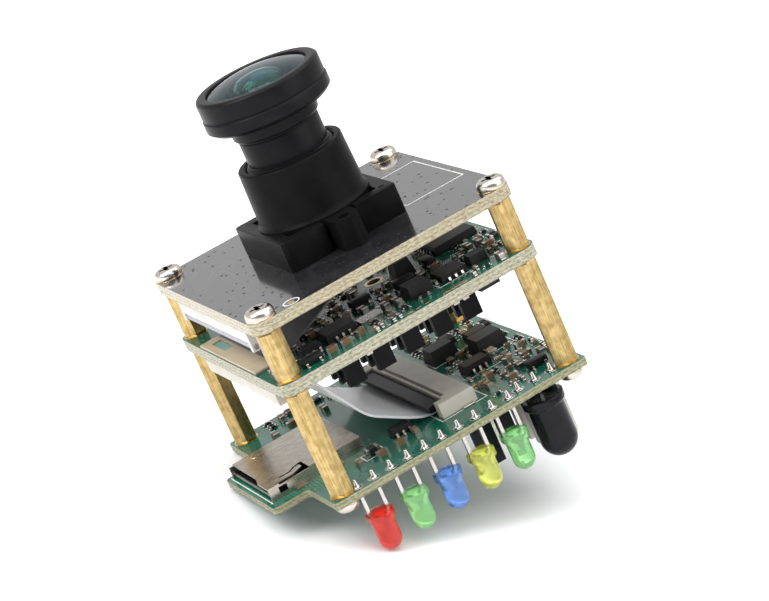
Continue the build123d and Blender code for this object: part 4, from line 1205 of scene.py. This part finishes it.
@dataclass
class PartsSide:
    """One face of a board with the small parts on it, where the CAD leaves it free."""

    name: str
    face: Level
    seed: int
    kinds: Sequence[ChipKind]
    pads: int
    covered: Sequence[str]
    kept_free: Sequence[Box2]
    regions: Sequence[tuple[float, float, float, float, int]]
    transistors: Sequence[Transistor] = ()
    boxes: Sequence[tuple[ChipKind, Point2]] = ()

    def build(self) -> None:
        """Lays the transistors, the scattered parts and then the parts at known places."""
        clear = STANDOFF_CLEAR
        standoffs = [(x - clear, y - clear, x + clear, y + clear) for x, y in CORNERS]
        ground = Ground(standoffs + footprints(self.covered) + list(self.kept_free))
        if self.transistors:
            self._lay_transistors(ground)
        self._scatter(ground)
        if self.boxes:
            self._make("front_parts", {kind: [self._place(at, 0)] for kind, at in self.boxes}, [])

    def _lay_transistors(self, ground: Ground) -> None:
        """Builds the transistors that find free ground.

        Args:
            ground: the face's free ground.
        """
        bodies, metal = Shape(), Shape()
        for part in self.transistors:
            size = (part.length, part.width + 1.2)
            if not ground.claim(part.at, size if part.turn == 0 else size[::-1], 0.05):
                continue
            place = placed([(*part.at, self.face)], part.turn)
            bodies.add(block((0.0, 0.0, part.height / 2 + 0.1), (part.length, part.width, part.height - 0.1),
                             0.09, 2), place)
            for side, count in zip((-1, 1), part.leads):
                for index in range(count):
                    along = (index - (count - 1) / 2) * (1.9 if count == 2 else 0.95)
                    for out, z, size, bevel in ((0.1, 0.42, (0.36, 0.24, 0.14), 0.03),
                                                (0.2, 0.22, (0.36, 0.13, 0.5), 0.04),
                                                (0.4, 0.07, (0.36, 0.5, 0.13), 0.04)):
                        metal.add(block((along, side * (part.width / 2 + out), z), size, bevel), place)
        bodies.piece(f"{self.name}_transistors_bodies", CHIP)
        metal.piece(f"{self.name}_transistors_leads", TIN)

    def _scatter(self, ground: Ground) -> None:
        """Fills the regions with short rows of equal parts, then with test pads.

        Args:
            ground: the face's free ground.
        """
        draw = random.Random(self.seed)
        places: dict[ChipKind, list[Matrix]] = {kind: [] for kind in self.kinds}
        pads: list[Matrix] = []
        for x0, y0, x1, y1, tries in self.regions:
            for _ in range(tries):
                kind = draw.choices(self.kinds, [k.share for k in self.kinds])[0]
                turn = draw.choice((0, 90))
                x, y = draw.uniform(x0, x1), draw.uniform(y0, y1)
                x, y = round(x * 4) / 4, round(y * 4) / 4
                size = (kind.length + 0.45, kind.width + 0.1)
                for index in range(draw.randint(1, 4)):
                    step = index * (kind.width + draw.choice((0.42, 0.42, 0.6)))
                    at = (x, y + step) if turn == 0 else (x + step, y)
                    inside = x0 <= at[0] <= x1 and y0 <= at[1] <= y1
                    if inside and ground.claim(at, size if turn == 0 else size[::-1]):
                        places[kind].append(self._place(at, turn))
            for _ in range(self.pads // len(self.regions)):
                at = (draw.uniform(x0, x1), draw.uniform(y0, y1))
                if ground.claim(at, (0.8, 0.8), 0.05):
                    pads.append(self._place(at, 0))
        self._make("parts", places, pads)

    def _place(self, at: Point2, turn: float) -> Matrix:
        """Gives the matrix that sets a part on the face."""
        flip = Matrix.Diagonal((1.0, 1.0, UPWARD[self.face], 1.0))
        return Matrix.Translation((*at, self.face)) @ flip @ Matrix.Rotation(math.radians(turn), 4, "Z")

    def _make(self, label: str, places: Mapping[ChipKind, list[Matrix]], pads: list[Matrix]) -> None:
        """Turns chosen places into pieces, one for each finish.

        Args:
            label: what the pieces' names say after the side's own name.
            places: matrices by kind.
            pads: matrices of the round test pads.
        """
        metal = Shape()
        bodies: dict[Finish, Shape] = {}
        for kind, spots in places.items():
            if spots:
                body, ends = kind.solids()
                for end in ends:
                    metal.add(end, spots)
                bodies.setdefault(kind.finish, Shape()).add(body, spots)
        metal.add(disc(16, 0.34, 0.05), pads)
        metal.piece(f"{self.name}_{label}_ends", TIN)
        for finish, shape in bodies.items():
            shape.piece(f"{self.name}_{label}_{finish.name}", finish)


CHIP_KINDS = tuple(ChipKind(*row) for row in (
    (1.0, 0.5, 0.35, CHIP, 9), (1.0, 0.5, 0.5, CERAMIC, 8), (1.0, 0.5, 0.5, TAN_CERAMIC, 4),
    (1.6, 0.8, 0.45, CHIP, 4), (1.6, 0.8, 0.8, CERAMIC, 4), (2.0, 1.2, 1.1, TAN_CERAMIC, 1),
))
PARTS_SIDES = (
    PartsSide(
        "main", Level.MAIN_TOP, 11, CHIP_KINDS, 60,
        ("main_capacitor_bodies", "main_capacitor_ends", "main_chips", "main_chip_leads", "main_inductors",
         "main_crystal"),
        ((-19.0, -10.5, -14.2, 10.5), (1.6, -2.2, 4.2, 0.4), (-0.4, -18.5, 9.0, -17.2)),
        ((-18.2, -18.2, 18.2, -12.0, 150), (-13.6, -12.0, 18.2, -4.0, 130), (-13.0, -4.0, 18.2, 6.0, 60),
         (-13.0, 6.0, 18.2, 18.0, 50)),
        (Transistor((-13.3, -16.4)), Transistor((-9.4, -9.4)), Transistor((-1.6, -6.4)),
         Transistor((9.0, -6.0), 90), Transistor((11.6, -10.2)),
         Transistor((4.2, -8.4), 0, 2.9, 1.6, 1.1, (3, 3)))),
    PartsSide(
        "io", Level.IO_TOP, 23, CHIP_KINDS, 50,
        ("io_capacitor_bodies", "io_capacitor_ends", "io_chips", "io_chip_leads", "io_inductors",
         "io_ribbon_connector", "card_slot_shell"),
        ((-9.6, -10.6, 7.0, 13.6), (-16.6, -19.0, 9.2, -16.6), (8.6, -18.3, 15.6, -15.8)),
        ((7.4, -15.6, 18.3, -4.0, 110), (7.4, -4.0, 18.3, 14.0, 90), (-15.0, 14.0, 15.0, 18.2, 30)),
        (Transistor((-12.2, -10.3), 0, 2.1, 1.2, 0.95, (3, 3)), Transistor((9.4, -14.6)),
         Transistor((14.6, -13.2)), Transistor((12.4, 10.0), 90), Transistor((17.0, 4.4), 90)),
        ((ChipKind(1.9, 1.3, 0.95, CHIP), (-9.5, -10.9)),)),
    PartsSide(
        "io_underside", Level.IO_BOTTOM, 47, CHIP_KINDS[:3], 70, ("power_socket", "cable_socket"),
        ((-16.6, -19.0, 16.0, -14.0), (-24.1, -19.0, -15.0, 19.0)),
        ((-14.5, -13.0, 5.0, 16.0, 70), (8.0, 6.0, 16.0, 14.0, 20))),
    PartsSide(
        "main_underside", Level.MAIN_BOTTOM, 31, CHIP_KINDS, 20,
        ("underside_chips", "main_ribbon_connector", "heatsink"), ((-19.0, -13.8, -12.8, 13.8),),
        ((-12.0, -18.2, 18.0, -10.8, 60), (-12.0, 12.0, 18.0, 18.0, 30), (13.0, -10.0, 18.2, 12.0, 30))),
)


@dataclass
class BoardMarks:
    """Printed lines, bare pads and rings that lie on the boards' faces."""

    line: float = 0.16
    rise: float = 0.025
    fiducial: Point2 = (-12.9, -17.6)
    tooling_hole: Point2 = (2.9, -0.9)

    def build(self) -> None:
        """Builds the marks of all three boards."""
        self._hole_rings()
        self._print_lines()
        self._tail_window()
        self._bare_copper()

    def _hole_rings(self) -> None:
        """Lays a plated ring round each screw hole on every face, and round the tooling hole."""
        rings = Shape()
        for face, up in UPWARD.items():
            outer = 1.98 if face in (Level.SENSOR_TOP, Level.IO_BOTTOM) else 1.72
            rings.add(flat_ring(1.12, outer, face, up, self.rise, 40), placed(CORNERS))
        rings.add(flat_ring(0.92, 1.35, Level.MAIN_TOP, 1, self.rise, 40), placed([self.tooling_hole]))
        rings.piece("screw_hole_rings", GOLD)

    def _outline(self, x0: float, y0: float, x1: float, y1: float, face: float) -> list[BMesh]:
        """Makes the four printed lines of a rectangle."""
        w, z = self.line, face + self.rise / 2
        return [block(((x0 + x1) / 2, y, z), (x1 - x0 + w, w, self.rise)) for y in (y0, y1)] + [
            block((x, (y0 + y1) / 2, z), (w, y1 - y0 - w, self.rise)) for x in (x0, x1)]

    def _print_lines(self) -> None:
        """Prints the white outlines round parts and along edges."""
        ink = Shape()
        for outline in (
            (9.3, -6.6, 17.9, 9.1, Level.SENSOR_TOP), (5.9, -15.8, 11.3, -10.4, Level.MAIN_TOP),
            (-0.2, -13.4, 6.6, 13.4, Level.IO_TOP), (7.4, 4.2, 12.0, 8.6, Level.IO_TOP),
            (11.8, -1.4, 17.2, 3.4, Level.IO_TOP), (7.6, -5.6, 12.8, -0.8, Level.IO_TOP),
            (-11.0, -12.0, -8.0, -9.8, Level.IO_TOP),
        ):
            for line in self._outline(*outline):
                ink.add(line)
        ink.add(block((-23.48, -0.7, Level.IO_TOP + self.rise / 2), (0.14, 15.2, self.rise)))
        ring = [(0.95, 0.0), (1.12, 0.0), (1.12, self.rise), (0.95, self.rise)]
        ink.add(revolved(ring, steps=40), placed([self.fiducial]))
        ink.piece("printed_lines", INK)

    def _tail_window(self) -> None:
        """Lays the bare film that shows in the window of the flex tail's stiffener."""
        low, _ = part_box("flex_stiffener")
        middle = (low[0] / MM + 1.75, 5.8, low[2] / MM + 0.03)
        Shape().add(block(middle, (1.3, 4.9, 0.07), 0.01)).piece("tail_window_film", WINDOW_FILM)

    def _bare_copper(self) -> None:
        """Lays bare plated pads where the photograph shows them."""
        pads = Shape().add(disc(24, 0.48, 0.04), placed([(*self.fiducial, 0.012)]))
        for x, y, length, width, face in (
            (0.2, -17.95, 0.8, 0.7, Level.MAIN_TOP), (1.5, -17.8, 0.8, 0.7, Level.MAIN_TOP),
            (2.8, -17.9, 0.8, 0.7, Level.MAIN_TOP), (6.9, -18.05, 3.6, 0.7, Level.MAIN_TOP),
            (7.2, -8.2, 0.8, 0.6, Level.IO_TOP), (8.4, -8.0, 0.8, 0.6, Level.IO_TOP),
            (6.8, -9.4, 0.8, 0.6, Level.IO_TOP),
        ):
            pads.add(block((x, y, face + self.rise / 2), (length, width, self.rise + 0.02), 0.01))
        pads.piece("bare_pads", GOLD)


@dataclass
class MetalDetails:
    """Contacts and anchors of the flat-cable connectors, rings round the leads, and card slot pressings."""

    contacts: int = 40
    pitch: float = 0.5
    tab_y: float = 13.2
    slot_top: float = -23.35

    def build(self) -> None:
        """Builds the metal in turn."""
        self._contacts()
        self._lead_pads()
        self._pressings()

    def _contacts(self) -> None:
        """Lays the solder tails, the contacts' ends and the anchor tabs of the three connectors."""
        metal = Shape()
        row = placed([(0.0, (i - (self.contacts - 1) / 2) * self.pitch) for i in range(self.contacts)])
        for edge, side, face in ((5.5, 1, Level.IO_TOP), (-14.1, 1, Level.SENSOR_BOTTOM),
                                 (-18.4, -1, Level.MAIN_BOTTOM)):
            for out, rise, size in ((0.28, 0.09, (0.62, 0.2, 0.14)), (0.04, 0.3, (0.12, 0.2, 0.42))):
                metal.add(block((edge + side * out, 0.0, face + UPWARD[face] * rise), size, 0.03), row)
        metal.add(block((2.05, 0.0, Level.IO_TOP + 1.68), (0.52, 0.24, 0.1), 0.02), row)
        for x, face in ((3.9, Level.IO_TOP), (-16.0, Level.MAIN_BOTTOM), (-16.3, Level.SENSOR_BOTTOM)):
            for y in (-self.tab_y, self.tab_y):
                metal.add(block((x, y, face + UPWARD[face] * 0.12), (1.8, 0.8, 0.2), 0.05))
        metal.piece("connector_contacts", TIN)

    def _lead_pads(self) -> None:
        """Lays plated rings round the front leads, above and below the lower board."""
        rings = Shape()
        for face in (Level.IO_TOP, Level.IO_BOTTOM):
            rings.add(flat_ring(0.4, 0.88, face, UPWARD[face], 0.035, 28), placed(LEADS))
        rings.piece("lead_pads", TIN)

    def _pressings(self) -> None:
        """Spins the shallow pressings in the card slot's steel shell."""
        top = self.slot_top
        dimple = soften([(0.0, top - 0.02), (0.7, top - 0.02), (0.62, top + 0.05), (0.4, top + 0.07),
                         (0.0, top + 0.03)], 0.05)
        Shape().add(revolved(dimple, steps=28, closed=False), placed(
            ((-19.9, 4.9), (-12.2, 4.9), (-12.2, -6.2)))).piece("card_slot_pressings", STEEL)


@dataclass
class Studio:
    """Camera, floor and lights, placed as in the photograph."""

    eye: Point3 = (-100.49, -333.47, 103.42)
    right: Point3 = (0.83333, -0.3939, -0.38783)
    up: Point3 = (0.47505, 0.15153, 0.86682)
    focal_px: float = 2833.3
    width_px: int = 769
    sensor: float = 36.0
    floor_normal: Point3 = (0.3504, -0.1658, 0.9218)
    floor_drop: float = 34.25
    sky_light: float = 0.45
    front_white: float = 0.35
    # painted shade: over this distance from the object, in metres, the floor's camera-only glow fades in, so
    # the floor near the object stays darker
    painted_shade_reach: Point2 = (0.045, 0.22)
    glow_strength: Point2 = (0.02, 0.6)

    def build(self) -> None:
        """Places everything in turn."""
        self.camera()
        self.floor()
        self.lamps()
        self.world()
        bpy.context.scene.view_settings.view_transform = "Standard"
        LOG.info("studio placed")

    def camera(self) -> None:
        """Places the camera by its measured centre and axes."""
        data = bpy.data.cameras.new("photo_camera")
        data.sensor_width = self.sensor
        data.lens = self.focal_px / self.width_px * self.sensor
        data.clip_start, data.clip_end = 0.01, 20.0
        x = Vector(self.right).normalized()
        y = (Vector(self.up) - Vector(self.up).dot(x) * x).normalized()
        turn = Matrix((x, y, x.cross(y))).transposed().to_4x4()
        eye = added("photo_camera", data)
        eye.matrix_world = Matrix.Translation(Vector(self.eye) * MM) @ turn
        bpy.context.scene.camera = eye

    def floor(self) -> None:
        """Lays a pale floor under the lowest lamp, the tongue and the rear corner that it rests on."""
        bm = bmesh.new()
        bmesh.ops.create_grid(bm, x_segments=1, y_segments=1, size=6.0)
        turn = Vector(self.floor_normal).to_track_quat("Z", "Y").to_matrix().to_4x4()
        drop = Matrix.Translation(-Vector(self.floor_normal).normalized() * self.floor_drop * MM)
        bmesh.ops.transform(bm, matrix=drop @ turn, verts=bm.verts)
        mesh = bpy.data.meshes.new("floor")
        bm.to_mesh(mesh)
        bm.free()
        mesh.materials.append(self._floor_material())
        floor = added("floor", mesh)

    def _floor_material(self) -> Material:
        """Makes a matt white that glows to the camera as painted light away from the object, with the glow
        faded out near the object as painted shade, and is clear from below.

        Returns:
            The material.
        """
        material = bpy.data.materials.new("pale_floor")
        material.use_nodes = True
        net = Net(material.node_tree)
        matt = net.tree.nodes["Principled BSDF"]
        net.fill(matt, {"Base Color": (0.86, 0.86, 0.87), "Roughness": 0.9, "Specular IOR Level": 0.0})
        # painted light and shade: the camera-only glow is weak near the object and strong away from it, so the
        # floor round the object reads as shaded
        reach = net.vector("LENGTH", net.node("TexCoord").outputs["Object"]).outputs["Value"]
        glow = net.node("Emission", {"Strength": net.ramp(reach, self.painted_shade_reach, self.glow_strength)})
        lit = net.node("AddShader", {0: matt.outputs[0], 1: glow.outputs[0]})
        seen = net.choose(net.node("LightPath").outputs["Is Camera Ray"], matt, lit)
        behind = net.node("NewGeometry").outputs["Backfacing"]
        sides = net.choose(behind, seen, net.node("BsdfTransparent"))
        net.fill(net.tree.nodes["Material Output"], {"Surface": sides.outputs[0]})
        return material

    def lamps(self) -> None:
        """Hangs a broad softbox overhead, a key from the left and a low fill from the right."""
        up, side = Vector(self.floor_normal).normalized(), Vector(self.right).normalized()
        towards = side.cross(Vector(self.up)).normalized()
        for name, place, size, power in (
            ("top_softbox", up * 0.6 + towards * 0.05, 1.1, 8.0),
            ("left_softbox", up * 0.3 - side * 0.5 + towards * 0.25, 0.4, 3.2),
            ("right_fill", up * 0.2 + side * 0.55 + towards * 0.3, 0.5, 1.6),
        ):
            data = bpy.data.lights.new(name, "AREA")
            data.shape, data.size, data.energy = "SQUARE", size, power
            lamp = added(name, data)
            lamp.location = place
            lamp.rotation_euler = place.to_track_quat("Z", "Y").to_euler()

    def world(self) -> None:
        """Makes the surroundings white to the camera and in reflections, and softer as light."""
        world = bpy.data.worlds.new("white_studio")
        world.use_nodes = True
        bpy.context.scene.world = world
        net = Net(world.node_tree)
        back = net.tree.nodes["Background"]
        net.fill(back, {"Color": (1.0, 1.0, 1.0), "Strength": self.sky_light})
        towards = Vector(self.right).cross(Vector(self.up)).normalized()
        where = net.node("TexCoord").outputs["Generated"]
        front = net.vector("DOT_PRODUCT", where, towards).outputs["Value"]
        dimmed = net.ramp(front, (0.0, 0.75), (1.0, self.front_white))
        camera, glossy, through = (net.node("LightPath").outputs[f"Is {kind} Ray"]
                                   for kind in ("Camera", "Glossy", "Transmission"))
        white = net.node("Background", {"Strength": net.math("MAXIMUM", dimmed, camera)})
        seen = net.math("MAXIMUM", camera, net.math("MAXIMUM", glossy, through))
        net.fill(net.tree.nodes["World Output"], {"Surface": net.choose(seen, back, white).outputs[0]})


def dress_cad_nodes() -> None:
    """Gives every carried-over CAD node its finish."""
    for finish, names in CAD_FINISHES.items():
        for name in names:
            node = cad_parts[name]
            node.data.materials.clear()
            node.data.materials.append(finish.build())
    LOG.info("CAD nodes dressed")


def main() -> None:
    """Builds the studio and the pieces in order."""
    logging.basicConfig(level=logging.INFO, format="%(message)s")
    Studio().build()
    dress_cad_nodes()
    for assembly in (LensUnit(), LensMount(), Fasteners(), FrontRow(), BoardMarks(), MetalDetails(),
                     *PARTS_SIDES):
        assembly.build()


if __name__ == "__main__":
    main()
